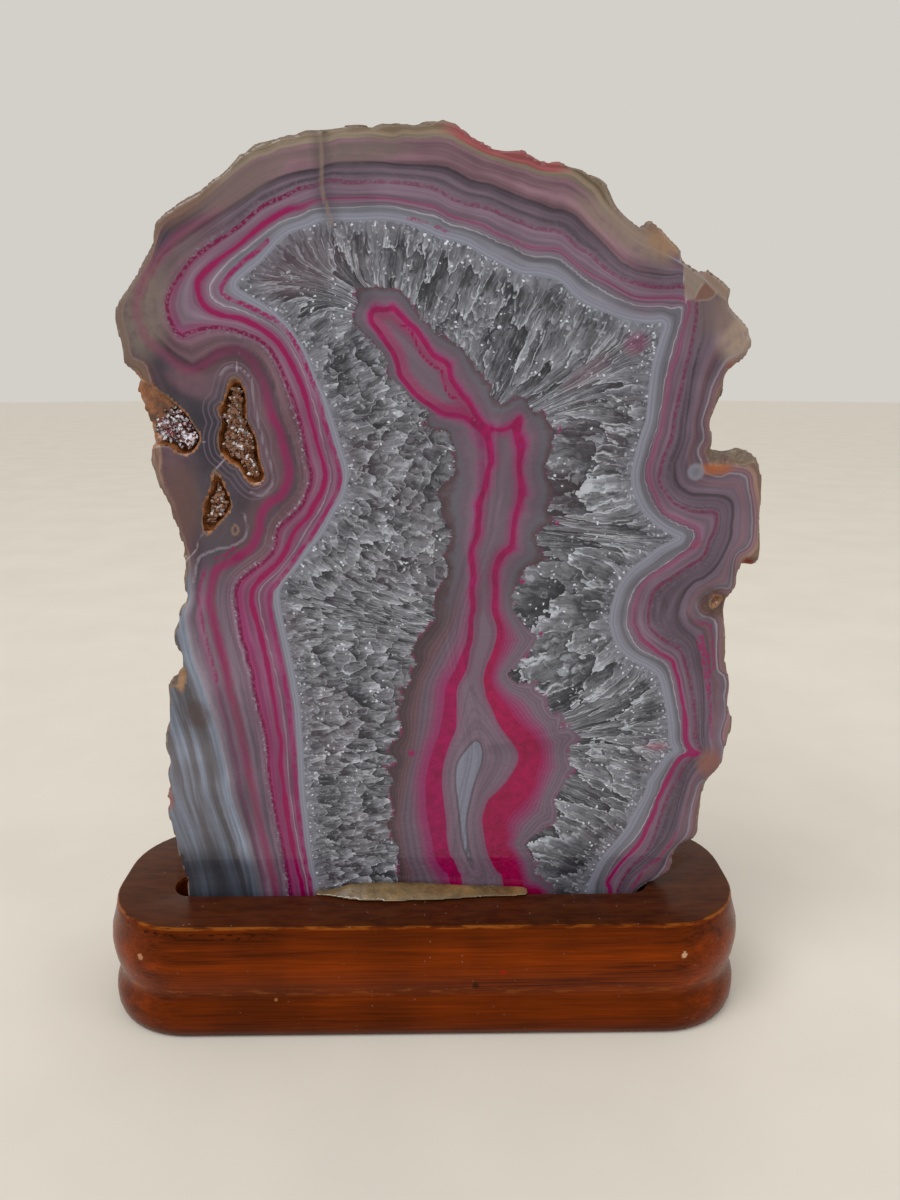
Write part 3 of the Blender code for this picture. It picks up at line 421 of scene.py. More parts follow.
# Small pink and magenta specks: across, up and radius
SPECKS = [
    (-15, 176.5, 0.45), (-15, 172.7, 0.4), (-14.5, 178, 0.35), (-3.2, 68, 0.9),
    (4.2, 105.6, 0.4), (23.6, 111.8, 0.7), (31.4, 147.6, 0.6), (31.4, 126, 0.6),
    (28.4, 99, 0.6), (50.8, 107, 0.4), (-31, 38, 0.4), (22.7, 143.8, 0.9),
]

# Soft stains: across, up, half width, half height, turn in degrees, sRGB colour, strength
STAINS = [
    (67.6, 138.4, 4.5, 1.5, 0, (158, 92, 54), 0.8),
    (70.8, 161.8, 2.4, 1.2, 10, (124, 20, 18), 0.85),
    (77.6, 116.4, 1.8, 1.0, -15, (150, 26, 30), 0.85),
    (44, 190, 13, 3.2, -33, (140, 124, 116), 0.75),
    (70, 170, 5, 9, 8, (156, 138, 128), 0.75),
    (62, 172, 4, 8, 0, (104, 92, 98), 0.5),
    (-61, 174, 6, 12, -12, (124, 112, 106), 0.75),
    (-50, 196, 9, 3.2, 38, (116, 92, 82), 0.6),
    (-53, 184, 7, 4, 45, (104, 98, 98), 0.4),
    (-50, 147, 5, 7, 20, (58, 57, 66), 0.75),
    (-56, 131, 4.5, 10, 0, (104, 80, 76), 0.7),
    (-49, 127, 4, 6, 20, (92, 80, 84), 0.5),
    (-52, 158, 6, 3, -25, (112, 84, 96), 0.8),
    (-43.5, 118, 1.6, 1.1, 20, (104, 20, 58), 0.85),
    (-55.5, 78.5, 3.2, 4, 20, (84, 68, 66), 0.6),
    (71.5, 65, 3.4, 4, 10, (134, 92, 84), 0.8),
    (58, 69.5, 3, 1.2, 0, (140, 76, 96), 0.7),
    (64.4, 120.8, 1.6, 1.2, 0, (134, 76, 100), 0.7),
    (69.5, 106.5, 4.2, 4.2, 0, (74, 56, 52), 0.8),
    (53, 187.5, 4, 3, -30, (150, 122, 98), 0.8),
    (66, 173, 5, 5, 30, (112, 96, 94), 0.6),
    (71, 168, 3, 4, 0, (156, 136, 122), 0.7),
    (48, 166.5, 3, 2.4, 30, (134, 70, 104), 0.6),
    (37, 160, 7, 2, 35, (120, 92, 106), 0.4),
    (-57.4, 115, 1.6, 2.4, 0, (160, 120, 84), 0.7),
    (-59.4, 87.4, 1.2, 3.2, 0, (168, 124, 88), 0.8),
    (-64.2, 55.5, 1.0, 3.0, 0, (150, 92, 78), 0.7),
    (-28, 183, 10, 7, 20, (96, 80, 92), 0.5),
    (36, 36, 8, 8, 0, (52, 50, 54), 0.45),
    (7, 151.5, 5.5, 1.6, -10, (134, 44, 88), 0.75),
    (-14, 205.6, 13, 2.2, 3, (112, 102, 98), 0.75),
    (-37, 199.8, 13, 2.8, 31, (116, 103, 99), 0.7),
]
BLUE_EYE = (63.3, 137.8, 1.9)

# Chips and a red mark on the stand's front: across, up, radius and sRGB colour
WOOD_CHIPS = [
    (-69.5, 21.8, 0.9, (176, 128, 92)), (-36.8, 10.2, 0.6, (150, 104, 66)),
    (63.3, 22.4, 0.8, (196, 160, 130)), (12.4, 14.2, 1.1, (40, 14, 4)),
    (19.0, 18.4, 0.8, (150, 24, 8)),
]
# The stand's height, and the painted light and shade at each height above the table, in
# millimetres: painted shadow at the foot, painted shade in the crease and just under the rim,
# lighter on the bulges
STAND_HEIGHT = 30.0
WOOD_LIGHT_AND_SHADE = [
    (0.0, 0.4), (1.5, 0.7), (4.5, 0.82), (8.0, 0.85), (10.5, 0.75), (13.0, 1.0), (18.0, 1.2),
    (23.0, 1.05), (28.0, 0.8), (29.0, 0.9),
]


def photo(red, green, blue):
    """A linear colour from the sRGB values seen in the photograph."""
    channels = []
    for value in (red, green, blue):
        part = value / 255
        channels.append(part / 12.92 if part <= 0.04045 else ((part + 0.055) / 1.055) ** 2.4)
    return tuple(channels)


def colour_property(name, description, red, green, blue):
    return bpy.props.FloatVectorProperty(
        name=name, description=description, subtype="COLOR", size=3, min=0, max=1,
        default=photo(red, green, blue),
    )


class AgateStoneColours(bpy.types.PropertyGroup):
    magenta: colour_property("Magenta", "The strong veins", 142, 8, 84)
    crimson: colour_property("Crimson", "The red line round the figure", 150, 26, 78)
    rose: colour_property("Rose", "The soft pink veins and flows", 134, 70, 108)
    mauve: colour_property("Mauve", "The body colour of the walls", 110, 86, 96)
    lilac: colour_property("Lilac", "The bluer bands of the walls", 118, 102, 118)
    slate: colour_property("Slate", "The dark thin bands", 82, 72, 82)
    dusk: colour_property("Dusk", "The darkest grey of the left wall", 70, 64, 72)
    pearl: colour_property("Pearl", "The thin white bands", 158, 152, 164)
    border: colour_property("Border", "The pale blue-grey band at the quartz", 138, 140, 156)
    blue_band: colour_property("Blue band", "The broad pale band of the top wall", 120, 120, 132)
    clay: colour_property("Clay", "The blue-grey lower left", 100, 98, 105)
    chalk: colour_property("Chalk", "The chalky streaks of the lower left", 136, 146, 166)
    cream: colour_property("Cream", "The thin line inside the rind", 148, 134, 120)
    olive_rind: colour_property("Olive rind", "The rind of the top", 114, 99, 83)
    salmon_rind: colour_property("Salmon rind", "The red stretch of the top's rind", 148, 76, 82)
    tan_rind: colour_property("Tan rind", "The rind of the sides", 124, 100, 90)
    quartz: colour_property("Quartz", "The body of the quartz", 108, 110, 118)
    quartz_dark: colour_property("Quartz shade", "The clear, dark grains", 74, 75, 82)
    quartz_white: colour_property("Quartz white", "The frosted grains", 186, 191, 202)
    halo: colour_property("Halo", "The dusky edge of the figure", 84, 70, 76)
    spindle: colour_property("Spindle", "The pale heart of the figure", 124, 126, 142)
    skin: colour_property("Hollow skin", "The glossy lining of the hollows", 128, 76, 38)


class AgateSizes(bpy.types.PropertyGroup):
    grain: bpy.props.FloatProperty(
        name="Mesh grain", description="Edge length of the slice's fine mesh, in millimetres",
        default=0.82, min=0.3, max=4,
    )
    main_vein: bpy.props.FloatProperty(
        name="Main vein", description="Half width of the strong magenta vein, in millimetres",
        default=0.95, min=0.1, max=3,
    )
    rind_relief: bpy.props.FloatProperty(
        name="Rind relief", description="Depth of the broken rind's bumps, in millimetres",
        default=0.35, min=0, max=2,
    )
    crystals: bpy.props.IntProperty(
        name="Crystals", description="Crystal points on each square centimetre of a crust",
        default=230, min=10, max=600,
    )
    crystal_width: bpy.props.FloatProperty(
        name="Crystal width", description="Middling width of a crystal, in millimetres",
        default=0.66, min=0.2, max=3,
    )


class AgateStandColours(bpy.types.PropertyGroup):
    wood: colour_property("Wood", "The lit body of the lacquered wood", 104, 38, 2)
    wood_dark: colour_property("Wood grain", "The dark grain of the wood", 62, 18, 2)
    wood_top: colour_property("Wood top", "The duller, dusty top of the stand", 48, 22, 12)
    wood_worn: colour_property("Worn edge", "Where the lacquer has worn at the edges", 150, 84, 26)
    glue: colour_property("Glue", "The olive-tan glue", 112, 88, 50)
    floor: colour_property("Floor", "The plain floor", 222, 216, 206)


class Recipe:
    """One material's nodes, each made from plain values or from other nodes' outputs."""

    def __init__(self, name):
        self.material = bpy.data.materials.new(name)
        self.material.use_nodes = True
        self.tree = self.material.node_tree
        self.shader = self.tree.nodes["Principled BSDF"]
        self.place = self.moved(self.node("ShaderNodeTexCoord").outputs["Object"], 1 / MM)

    def set(self, socket, value):
        if isinstance(value, bpy.types.NodeSocket):
            self.tree.links.new(value, socket)
        elif socket.type == "RGBA" and len(value) == 3:
            socket.default_value = (*value, 1)
        else:
            socket.default_value = value

    def node(self, kind, inputs=(), **settings):
        """A new node with its settings, and its inputs by (place or name, value)."""
        made = self.tree.nodes.new(kind)
        for key, value in settings.items():
            setattr(made, key, value)
        for key, value in inputs:
            self.set(made.inputs[key], value)
        return made

    def mark(self, name, output="Fac"):
        return self.node("ShaderNodeAttribute", attribute_name=name).outputs[output]

    def maths(self, operation, *values):
        made = self.node("ShaderNodeMath", enumerate(values), operation=operation)
        return made.outputs[0]

    def times(self, *values):
        result = values[0]
        for value in values[1:]:
            result = self.maths("MULTIPLY", result, value)
        return result

    def plus(self, *values):
        result = values[0]
        for value in values[1:]:
            result = self.maths("ADD", result, value)
        return result

    def rest_of(self, value):
        """What the value leaves of one."""
        return self.maths("SUBTRACT", 1.0, value)

    def swing(self, value, amount):
        """A noise's swing about its middle, times the amount."""
        return self.times(self.maths("SUBTRACT", value, 0.5), amount)

    def wave(self, value, scale):
        return self.maths("SINE", self.times(value, scale))

    def moved(self, vector, scale, shift=(0, 0, 0)):
        scale = scale if isinstance(scale, tuple) else (scale,) * 3
        made = self.node("ShaderNodeVectorMath", enumerate((vector, scale, shift)),
                         operation="MULTIPLY_ADD")
        return made.outputs[0]

    def vector(self, x=0.0, y=0.0, z=0.0):
        return self.node("ShaderNodeCombineXYZ", enumerate((x, y, z))).outputs[0]

    def axes(self, vector):
        return self.node("ShaderNodeSeparateXYZ", [(0, vector)]).outputs[:3]

    def parts(self, colour):
        return self.node("ShaderNodeSeparateColor", [(0, colour)]).outputs[:3]

    def noise(self, where, size=1.0, detail=4.0, distortion=0.0):
        made = self.node("ShaderNodeTexNoise", [
            ("Vector", where), ("Scale", 1 / size), ("Detail", detail),
            ("Roughness", NOISE_ROUGHNESS), ("Distortion", distortion),
        ])
        return made.outputs["Fac"]

    def noise_vector(self, where, size):
        """A small push, up to half a unit each way, that makes a pattern's cells irregular."""
        made = self.node("ShaderNodeTexNoise", [("Vector", where), ("Scale", 1 / size)])
        return self.moved(made.outputs["Color"], 1.0, (-0.5, -0.5, -0.5))

    def cells(self, where, size, output="Distance", feature="F1"):
        made = self.node("ShaderNodeTexVoronoi", [("Vector", where), ("Scale", 1 / size)],
                         feature=feature)
        return made.outputs[output]

    def pick(self, size):
        """A random number for each cell of the given size."""
        return self.parts(self.cells(self.place, size, "Color"))[0]

    def facets(self, where, size):
        """Cells painted with shading like tilted facets lit from one side: their shading, a pick
        and their inward end.
        """
        made = self.node("ShaderNodeTexVoronoi", [("Vector", where), ("Scale", 1 / size)])
        offset = self.node("ShaderNodeVectorMath", enumerate((where, made.outputs["Position"])),
                           operation="SUBTRACT").outputs[0]
        tilt = self.moved(made.outputs["Color"], 2 / size, (-1 / size,) * 3)
        dot = self.node("ShaderNodeVectorMath", enumerate((offset, tilt)),
                        operation="DOT_PRODUCT")
        first, second, _ = self.parts(made.outputs["Color"])
        shading = self.plus(dot.outputs["Value"], self.swing(first, 0.7))
        return shading, second, self.times(self.axes(offset)[2], 1 / size)

    def step(self, value, low, high, out_low=0.0, out_high=1.0):
        made = self.node("ShaderNodeMapRange", enumerate((value, low, high, out_low, out_high)),
                         interpolation_type="SMOOTHSTEP")
        return made.outputs[0]

    def fade(self, amount, first, second):
        """A number that goes from the first to the second as the amount goes from 0 to 1."""
        return self.step(amount, 0.0, 1.0, first, second)

    def window(self, value, rise, fall):
        """One between a rise and a fall, each given by its two ends."""
        return self.times(self.step(value, *rise), self.step(value, *fall))

    def blend(self, amount, first, second, how="MIX"):
        made = self.node("ShaderNodeMix", [(0, amount), (6, first), (7, second)],
                         data_type="RGBA", blend_type=how)
        return made.outputs[2]

    def layered(self, colour, *layers):
        """Colours laid over one another, each given as its amount and itself."""
        for amount, layer in layers:
            colour = self.blend(amount, colour, layer)
        return colour

    def tinted(self, colour, factor):
        """The colour made lighter or darker by another node's number."""
        return self.blend(1.0, colour, self.vector(factor, factor, factor), "MULTIPLY")

    def ramp(self, value, stops, scale=1.0):
        """A colour ramp through (place, colour) stops; places are divided by scale."""
        place = self.times(value, 1 / scale) if scale != 1 else value
        made = self.node("ShaderNodeValToRGB", [(0, place)])
        points = made.color_ramp.elements
        while len(points) < len(stops):
            points.new(1)
        for point, (place, colour) in zip(points, stops):
            point.position = place / scale
            point.color = (*colour, 1)
        return made.outputs[0]

    def bump(self, height, strength, distance_mm, under=None):
        inputs = [("Strength", strength), ("Distance", distance_mm * MM), ("Height", height)]
        if under is not None:
            inputs.append(("Normal", under))
        return self.node("ShaderNodeBump", inputs).outputs[0]

    def finish(self, **sockets):
        for name, value in sockets.items():
            self.set(self.shader.inputs[name.replace("_", " ")], value)
        return self.material


def shade(colour, factor):
    """The colour made lighter or darker."""
    return tuple(min(1.0, part * factor) for part in colour)


def between(first, second, amount):
    return tuple(a + (b - a) * amount for a, b in zip(first, second))


def run_below(line):
    """A closed line that starts and ends inside the slot, carried on well below it."""
    start, end = line[0], line[-1]
    return [(start[0], -RUN_DOWN), *line, (end[0], -RUN_DOWN)]


def smooth_line(points, closed):
    """Points every CURVE_STEP along a smooth curve through the given points."""
    here = np.array(points, float)
    if closed:
        before, after, beyond = (np.roll(here, turn, 0) for turn in (1, -1, -2))
    else:
        before = np.vstack([here[:1], here[:-2]])
        after = here[1:]
        beyond = np.vstack([here[2:], here[-1:]])
        here = here[:-1]
    pieces = []
    for a, b, c, d in zip(before, here, after, beyond):
        count = max(1, int(math.ceil(np.linalg.norm(c - b) / CURVE_STEP)))
        t = (np.arange(count) / count)[:, None]
        pieces.append(
            0.5 * (2 * b + (c - a) * t + (2 * a - 5 * b + 4 * c - d) * t**2
                   + (3 * b - a - 3 * c + d) * t**3)
        )
    if not closed:
        pieces.append(np.array(points[-1:], float))
    return np.vstack(pieces)


def nearest(at, line, closed):
    """Distance in millimetres from each point to the line, and its nearest sample."""
    line_b = np.roll(line, -1, 0) if closed else line[1:]
    line_a = line if closed else line[:-1]
    middle = (line_a + line_b) / 2
    index = np.empty(len(at), int)
    for start in range(0, len(at), BATCH):
        part = at[start : start + BATCH]
        apart = (part**2).sum(1)[:, None] + (middle**2).sum(1)[None] - 2 * part @ middle.T
        index[start : start + BATCH] = apart.argmin(1)
    best = np.full(len(at), np.inf)
    for shift in (-2, -1, 0, 1, 2):
        segment = (index + shift) % len(line_a) if closed else np.clip(
            index + shift, 0, len(line_a) - 1)
        a, b = line_a[segment], line_b[segment]
        run = b - a
        along = np.clip(((at - a) * run).sum(1) / np.maximum((run**2).sum(1), 1e-9), 0, 1)
        best = np.minimum(best, np.hypot(*(at - a - run * along[:, None]).T))
    return best, index


def within(at, line):
    """Which points lie inside the closed line."""
    inside = np.zeros(len(at), bool)
    for (x0, z0), (x1, z1) in zip(line, np.roll(line, -1, 0)):
        if z0 == z1:
            continue
        crosses = (at[:, 1] > min(z0, z1)) & (at[:, 1] <= max(z0, z1))
        place = x0 + (at[:, 1] - z0) * (x1 - x0) / (z1 - z0)
        inside ^= crosses & (at[:, 0] < place)
    return inside


def signed(at, line):
    """Distance to a closed line, more than nothing inside it."""
    apart, _ = nearest(at, line, True)
    return np.where(within(at, line), apart, -apart)


def depth_in(at, line):
    """Distance inside the smooth closed line through the given points."""
    return signed(at, smooth_line(line, True))


def open_distance(at, lines):
    """Distance to the nearest of several open lines."""
    return np.min([nearest(at, smooth_line(line, False), False)[0] for line in lines], axis=0)


def share(outer, inner):
    """How far a point is from an outer line (0) to an inner one (1), from signed distances."""
    return np.clip(outer / np.maximum(outer - inner, 1e-6), 0, 1) * (outer > 0)


def soft(value, low, high):
    """A smooth step from nothing at low to one at high."""
    t = np.clip((value - low) / (high - low), 0, 1)
    return t * t * (3 - 2 * t)


def ring_place(at, line):
    """The place along a closed line, as a point on a circle as long as the line."""
    steps = np.hypot(*(np.roll(line, -1, 0) - line).T)
    angle = 2 * math.pi * np.cumsum(steps) / steps.sum()
    radius = steps.sum() / (2 * math.pi)
    circle = np.stack([np.cos(angle), np.sin(angle)], 1) * radius
    result = np.empty((len(at), 2))
    for start in range(0, len(at), RING_BATCH):
        part = at[start : start + RING_BATCH]
        apart = np.sqrt(np.maximum(
            (part**2).sum(1)[:, None] + (line**2).sum(1)[None] - 2 * part @ line.T, 0))
        weight = np.exp((apart.min(1)[:, None] - apart) / RING_EASE)
        result[start : start + RING_BATCH] = weight @ circle / weight.sum(1)[:, None]
    return result


def hollow_depths(at):
    return [depth_in(at, line) for line in HOLLOWS]


def wall_marks(at):
    """What the banded walls and their veins read, at the given places."""
    x, z = at.T
    nothing = np.zeros(len(at))
    lines = [smooth_line(run_below(line), True) for line in BAND_LINES]
    depths = [signed(at, line) for line in lines]
    band = share(depths[0] + 3, depths[0])
    for outer, inner in zip(depths, depths[1:]):
        band = band + share(outer, inner)
    blotched = open_distance(at, [BLOTCHED_VEIN]) - 0.5 * soft(z, 80, 90)
    top = np.where(x < 0, soft(x, -54, -37), 1 - soft(x, 44, 56)) * soft(z, 160, 178)
    right = soft(x, 0, 20) * (1 - top)
    left = 1 - top - right
    strong = np.clip(left + top * (1 - soft(x, -34, -20)), 0, 1)
    return {
        "band": band,
        "rind": depths[0],
        "outer_vein": depths[2],
        "main_vein": depths[3],
        "wall": depths[5],
        "soft_vein": open_distance(at, [SOFT_VEIN]),
        "edge_vein": open_distance(at, [EDGE_VEIN]),
        "thin_vein": np.minimum(open_distance(at, THIN_VEINS), blotched),
        "ring": np.column_stack([ring_place(at, lines[5]), nothing]),
        "zones": np.column_stack([top, right, left * (1 - soft(z, 106, 120)), nothing]),
        "rosy": soft(x, 3, 9) * (1 - soft(x, 28, 34)) * top,
        "strength": np.column_stack([
            np.clip(strong + 0.14 * top + right * (0.25 + 0.55 * (1 - soft(z, 90, 102))), 0, 1),
            np.clip(0.9 * strong + 0.5 * top + 0.6 * right, 0, 1),
            left * (1 - 0.55 * soft(z, 148, 160)) * (1 - 0.3 * soft(96 - z, 0, 14)),
            nothing,
        ]),
    }


def figure_marks(at):
    """What the figure in the quartz reads, at the given places."""
    x, z = at.T
    red_line = [*run_below(RED_LINE_LEFT)[:-1], *RED_LINE_RIGHT, (30, -RUN_DOWN)]
    edge = depth_in(at, run_below(FIGURE_EDGE))
    outer = depth_in(at, red_line)
    inner = depth_in(at, run_below(RED_LINE_INSIDE))
    heart = depth_in(at, SPINDLE)
    arm = soft(z, 147.5, 150) * (x < 23)
    inner = np.where(arm > 0, np.maximum(inner, (outer - 1.1) * arm + inner * (1 - arm)), inner)
    to_left, to_right = (open_distance(at, [line]) for line in (RED_LINE_LEFT, RED_LINE_RIGHT))
    side = soft(to_left - to_right, -1.5, 1.5)
    halo_x, halo_z = zip(*HALO_INSIDE)
    halo = x - np.interp(z, halo_z, halo_x)
    left_part = 0.5 * share(edge, halo) + 0.5 * share(np.maximum(halo, 1e-3), outer)
    right_part = share(edge, outer)
    figure = np.where(z > 147, right_part, left_part * (1 - side) + right_part * side)
    return {
        "figure": figure + share(outer, inner) + share(inner, heart),
        "halo": edge,
        "red_outer": outer,
        "red_inner": inner,
        "heart": heart,
        "side": side,
        "arm": arm * (outer > -1),
        "arm_line": open_distance(at, [ARM_LINE]),
    }


def damage_marks(at):
    """What the hollows, cracks, plates, specks and stains read, at the given places."""
    x, z = at.T
    hollows = hollow_depths(at)
    plates = [
        signed(at, np.array(line, float)) for line in (GREY_PLATE, AMBER_PLATE, BROWN_PLATE)]
    eye_x, eye_z, eye_radius = BLUE_EYE
    return {
        "hollow": np.max(hollows, axis=0),
        "tall_hollow": hollows[0],
        "loops": open_distance(at, LOOP_LINES),
        "cracks": open_distance(at, CRACKS),
        "seam": open_distance(at, [OPEN_SEAM]),
        "plates": np.column_stack([*plates, np.zeros(len(at))]),
        "specks": np.min([np.hypot(x - a, z - b) - r for a, b, r in SPECKS], axis=0),
        "blue_eye": eye_radius - np.hypot(x - eye_x, z - eye_z),
        "stain": stains(x, z),
    }


def stains(x, z):
    """The stains' colour at the given places, with how much of it shows as the fourth part."""
    stain = np.zeros((len(x), 4))
    for a, b, wide, high, turn, colour, strength in STAINS:
        cos, sin = math.cos(math.radians(turn)), math.sin(math.radians(turn))
        u = ((x - a) * cos + (z - b) * sin) / wide
        v = (-(x - a) * sin + (z - b) * cos) / high
        amount = strength * (1 - soft(np.hypot(u, v), 0.55, 1.25))[:, None]
        stain = stain * (1 - amount) + np.array([*photo(*colour), 1.0]) * amount
    stain[:, :3] /= np.maximum(stain[:, 3:], 1e-4)
    return stain


def add_marks(mesh, marks):
    """Stores every mark on the mesh's points, as a number, a vector or a colour."""
    for name, values in marks.items():
        if values.ndim == 1:
            kind, key = "FLOAT", "value"
        elif values.shape[1] == 3:
            kind, key = "FLOAT_VECTOR", "vector"
        else:
            kind, key = "FLOAT_COLOR", "color"
        made = mesh.attributes.new(name, kind, "POINT")
        made.data.foreach_set(key, np.ascontiguousarray(values, np.float32).ravel())


def wall_ramps(c):
    """The banding's colours from the rim (0) to the quartz (6), for three walls."""
    top = [
        (0.0, shade(c.olive_rind, 0.75)), (0.55, c.olive_rind), (0.84, shade(c.cream, 0.8)),
        (1.0, shade(c.cream, 0.85)), (1.08, shade(c.mauve, 1.4)), (1.3, shade(c.mauve, 1.1)),
        (1.62, shade(c.mauve, 1.5)), (1.9, shade(c.mauve, 1.2)), (1.97, shade(c.slate, 0.8)),
        (2.04, c.slate), (2.3, shade(c.lilac, 0.85)), (2.55, shade(c.slate, 1.25)),
        (2.9, shade(c.lilac, 0.85)), (3.0, c.lilac), (3.5, shade(c.lilac, 1.1)),
        (3.92, shade(c.lilac, 0.9)), (4.0, c.rose), (4.12, shade(c.lilac, 1.05)),
        (4.6, shade(c.lilac, 0.95)), (4.93, shade(c.blue_band, 0.9)), (5.0, c.pearl),
        (5.08, shade(c.blue_band, 0.85)), (5.3, c.blue_band), (5.5, shade(c.blue_band, 1.2)),
        (5.75, shade(c.blue_band, 0.85)), (5.92, shade(c.blue_band, 0.8)), (6.0, c.border),
    ]
    left = [
        (0.0, shade(c.tan_rind, 0.85)), (0.85, c.tan_rind), (0.95, shade(c.tan_rind, 1.3)),
        (1.03, shade(c.mauve, 0.7)), (1.35, c.dusk), (1.6, shade(c.dusk, 1.3)),
        (1.85, shade(c.mauve, 0.8)), (1.96, shade(c.slate, 0.75)), (2.05, shade(c.mauve, 0.9)),
        (2.5, c.mauve), (2.9, between(c.mauve, c.rose, 0.35)),
        (3.1, between(c.lilac, c.rose, 0.7)), (3.4, between(c.lilac, c.pearl, 0.12)),
        (3.75, between(c.lilac, c.rose, 0.2)), (4.1, between(c.lilac, c.rose, 0.7)),
        (4.6, between(c.lilac, c.rose, 0.5)), (4.92, between(c.lilac, c.rose, 0.35)),
        (5.0, between(c.pearl, c.rose, 0.2)), (5.08, between(c.lilac, c.rose, 0.4)),
        (5.5, between(c.lilac, c.rose, 0.6)), (5.68, c.lilac), (5.74, c.border),
        (6.0, c.border),
    ]
    low = [
        (0.0, c.clay), (0.9, c.clay), (1.0, between(c.pearl, c.clay, 0.4)),
        (1.1, between(c.lilac, c.pearl, 0.3)), (1.25, shade(c.lilac, 0.8)),
        (1.35, between(c.rose, c.lilac, 0.4)), (1.45, shade(c.lilac, 1.05)),
        (1.7, shade(c.mauve, 1.05)), (1.85, c.lilac), (2.0, shade(c.lilac, 0.8)),
        (2.5, between(c.lilac, c.rose, 0.2)), (2.92, between(c.lilac, c.rose, 0.3)),
        (3.06, between(c.rose, c.magenta, 0.35)), (3.4, c.rose),
        (3.65, between(c.lilac, c.rose, 0.65)), (4.2, between(c.lilac, c.rose, 0.85)),
        (4.6, between(c.lilac, c.rose, 0.6)), (4.9, between(c.lilac, c.rose, 0.45)),
        (5.0, between(c.pearl, c.rose, 0.2)), (5.1, between(c.lilac, c.rose, 0.6)),
        (5.55, c.rose), (5.68, c.lilac), (5.74, c.border),
        (6.0, c.border),
    ]
    right = [
        (0.0, shade(c.tan_rind, 0.9)), (0.4, shade(c.tan_rind, 1.1)), (0.7, shade(c.mauve, 1.35)),
        (0.93, shade(c.mauve, 1.1)), (0.98, shade(c.pearl, 0.85)), (1.04, shade(c.pearl, 0.6)),
        (1.1, shade(c.lilac, 0.75)), (1.45, c.mauve), (1.6, shade(c.lilac, 0.85)),
        (1.88, shade(c.lilac, 0.7)), (1.97, shade(c.slate, 0.75)), (2.08, shade(c.lilac, 0.6)),
        (2.6, shade(c.lilac, 0.65)), (3.0, shade(c.lilac, 0.75)), (3.5, shade(c.lilac, 0.9)),
        (4.0, between(c.rose, c.lilac, 0.5)), (4.15, shade(c.lilac, 0.95)),
        (4.6, shade(c.lilac, 0.85)), (4.92, shade(c.lilac, 0.9)), (5.0, shade(c.pearl, 1.05)),
        (5.06, shade(c.blue_band, 0.8)), (5.35, shade(c.blue_band, 0.7)),
        (5.6, shade(c.blue_band, 0.9)), (5.75, shade(c.blue_band, 0.75)), (5.9, c.border),
        (6.0, c.border),
    ]
    return top, left, low, right


def quartz_look(r, c, blades):
    """Quartz: frosted sugar at the wall, then scales and long blades, with painted facet shading,
    painted highlights on their inner ends, painted shade at their outer ends and painted glints.
    """
    reach = r.times(r.wall, r.fade(blades, 0.42, 0.22))
    inward = r.moved(r.ring, 1.0, r.vector(z=reach))
    inward = r.moved(r.noise_vector(r.place, 3.0), 1.6, inward)
    inward = r.moved(r.noise_vector(r.place, 0.7), 0.28, inward)
    wide = r.moved(inward, 0.62, (3.0, 9.0, 4.0))
    scale, scale_pick, scale_end = r.facets(inward, FACET)
    blade, _, blade_end = r.facets(wide, FACET)
    chip, chip_pick, chip_end = r.facets(r.moved(inward, 2.1, (7.0, 3.0, 1.0)), FACET)
    gaps = [r.cells(where, FACET, feature="DISTANCE_TO_EDGE") for where in (inward, wide)]
    fibres = r.noise(r.moved(inward, (1.0, 1.0, 0.25)), 0.45, detail=3)
    cloud = r.noise(r.place, 5.0, detail=2)

    def either(first, second):
        share_of_second = r.maths("MULTIPLY_ADD", blades, 0.85, 0.1)
        return r.plus(r.times(second, share_of_second), r.times(first, r.rest_of(share_of_second)))

    facet, facet_end, facet_gap = either(scale, blade), either(scale_end, blade_end), either(*gaps)
    deep = r.step(r.wall, 0.6, 4.5)
    # The level mixes the quartz's own tone (cloud, fibres) with painted facet shading and painted
    # light towards each facet's inner end
    level = r.plus(
        r.maths("MULTIPLY_ADD", blades, -0.05, 0.55),
        r.times(facet, r.fade(deep, 0.1, 0.4), r.fade(blades, 1.0, 0.65)),
        r.times(facet_end, deep, 0.28),
        r.times(chip, r.fade(deep, 0.34, 0.16)),
        r.times(chip_end, 0.1),
        r.swing(cloud, 0.45),
        r.swing(fibres, r.fade(deep, 0.3, 0.75)),
    )
    body = r.ramp(level, [
        (0.02, shade(c.quartz_dark, 0.5)), (0.28, c.quartz_dark), (0.5, c.quartz),
        (0.72, shade(c.quartz, 1.5)), (1.0, c.quartz_white),
    ])
    # Painted highlights on the facets' inner ends, painted shade along the gaps at their outer
    # ends, and painted glints
    lit = r.times(r.step(facet_gap, 0.1, 0.02), r.step(facet_end, -0.1, 0.25), deep)
    painted_shaded_gaps = r.times(r.step(facet_gap, 0.16, 0.02), r.step(facet_end, -0.05, -0.4), deep)
    glint = r.times(r.step(chip_end, 0.3, 0.5), r.step(chip_pick, 0.45, 0.8))
    frost = r.times(r.step(r.wall, 3.5, 0.3), r.step(cloud, 0.35, 0.65, 0.15, 0.5))
    sugar = r.pick(0.45)
    near_wall = r.step(r.wall, 4.0, 0.2)
    # Painted glints: sparkle near the wall and a few scattered white points further in
    sparkle = r.times(r.step(sugar, 0.86, 0.95), near_wall, r.step(scale_pick, 0.2, 0.6))
    rare_glints = r.times(r.step(sugar, 0.968, 0.983), r.step(cloud, 0.45, 0.6))
    body = r.layered(
        body,
        (r.times(lit, r.step(fibres, 0.4, 0.55), r.fade(blades, 0.5, 0.95)), c.quartz_white),
        (r.times(painted_shaded_gaps, 0.6), shade(c.quartz_dark, 0.45)),
        (r.times(glint, 0.45), c.quartz_white),
        (frost, shade(c.border, 0.85)),
        (r.times(sparkle, 0.75), shade(c.quartz_white, 1.3)),
        (r.times(rare_glints, 0.85), shade(c.quartz_white, 1.5)),
    )
    return body, level


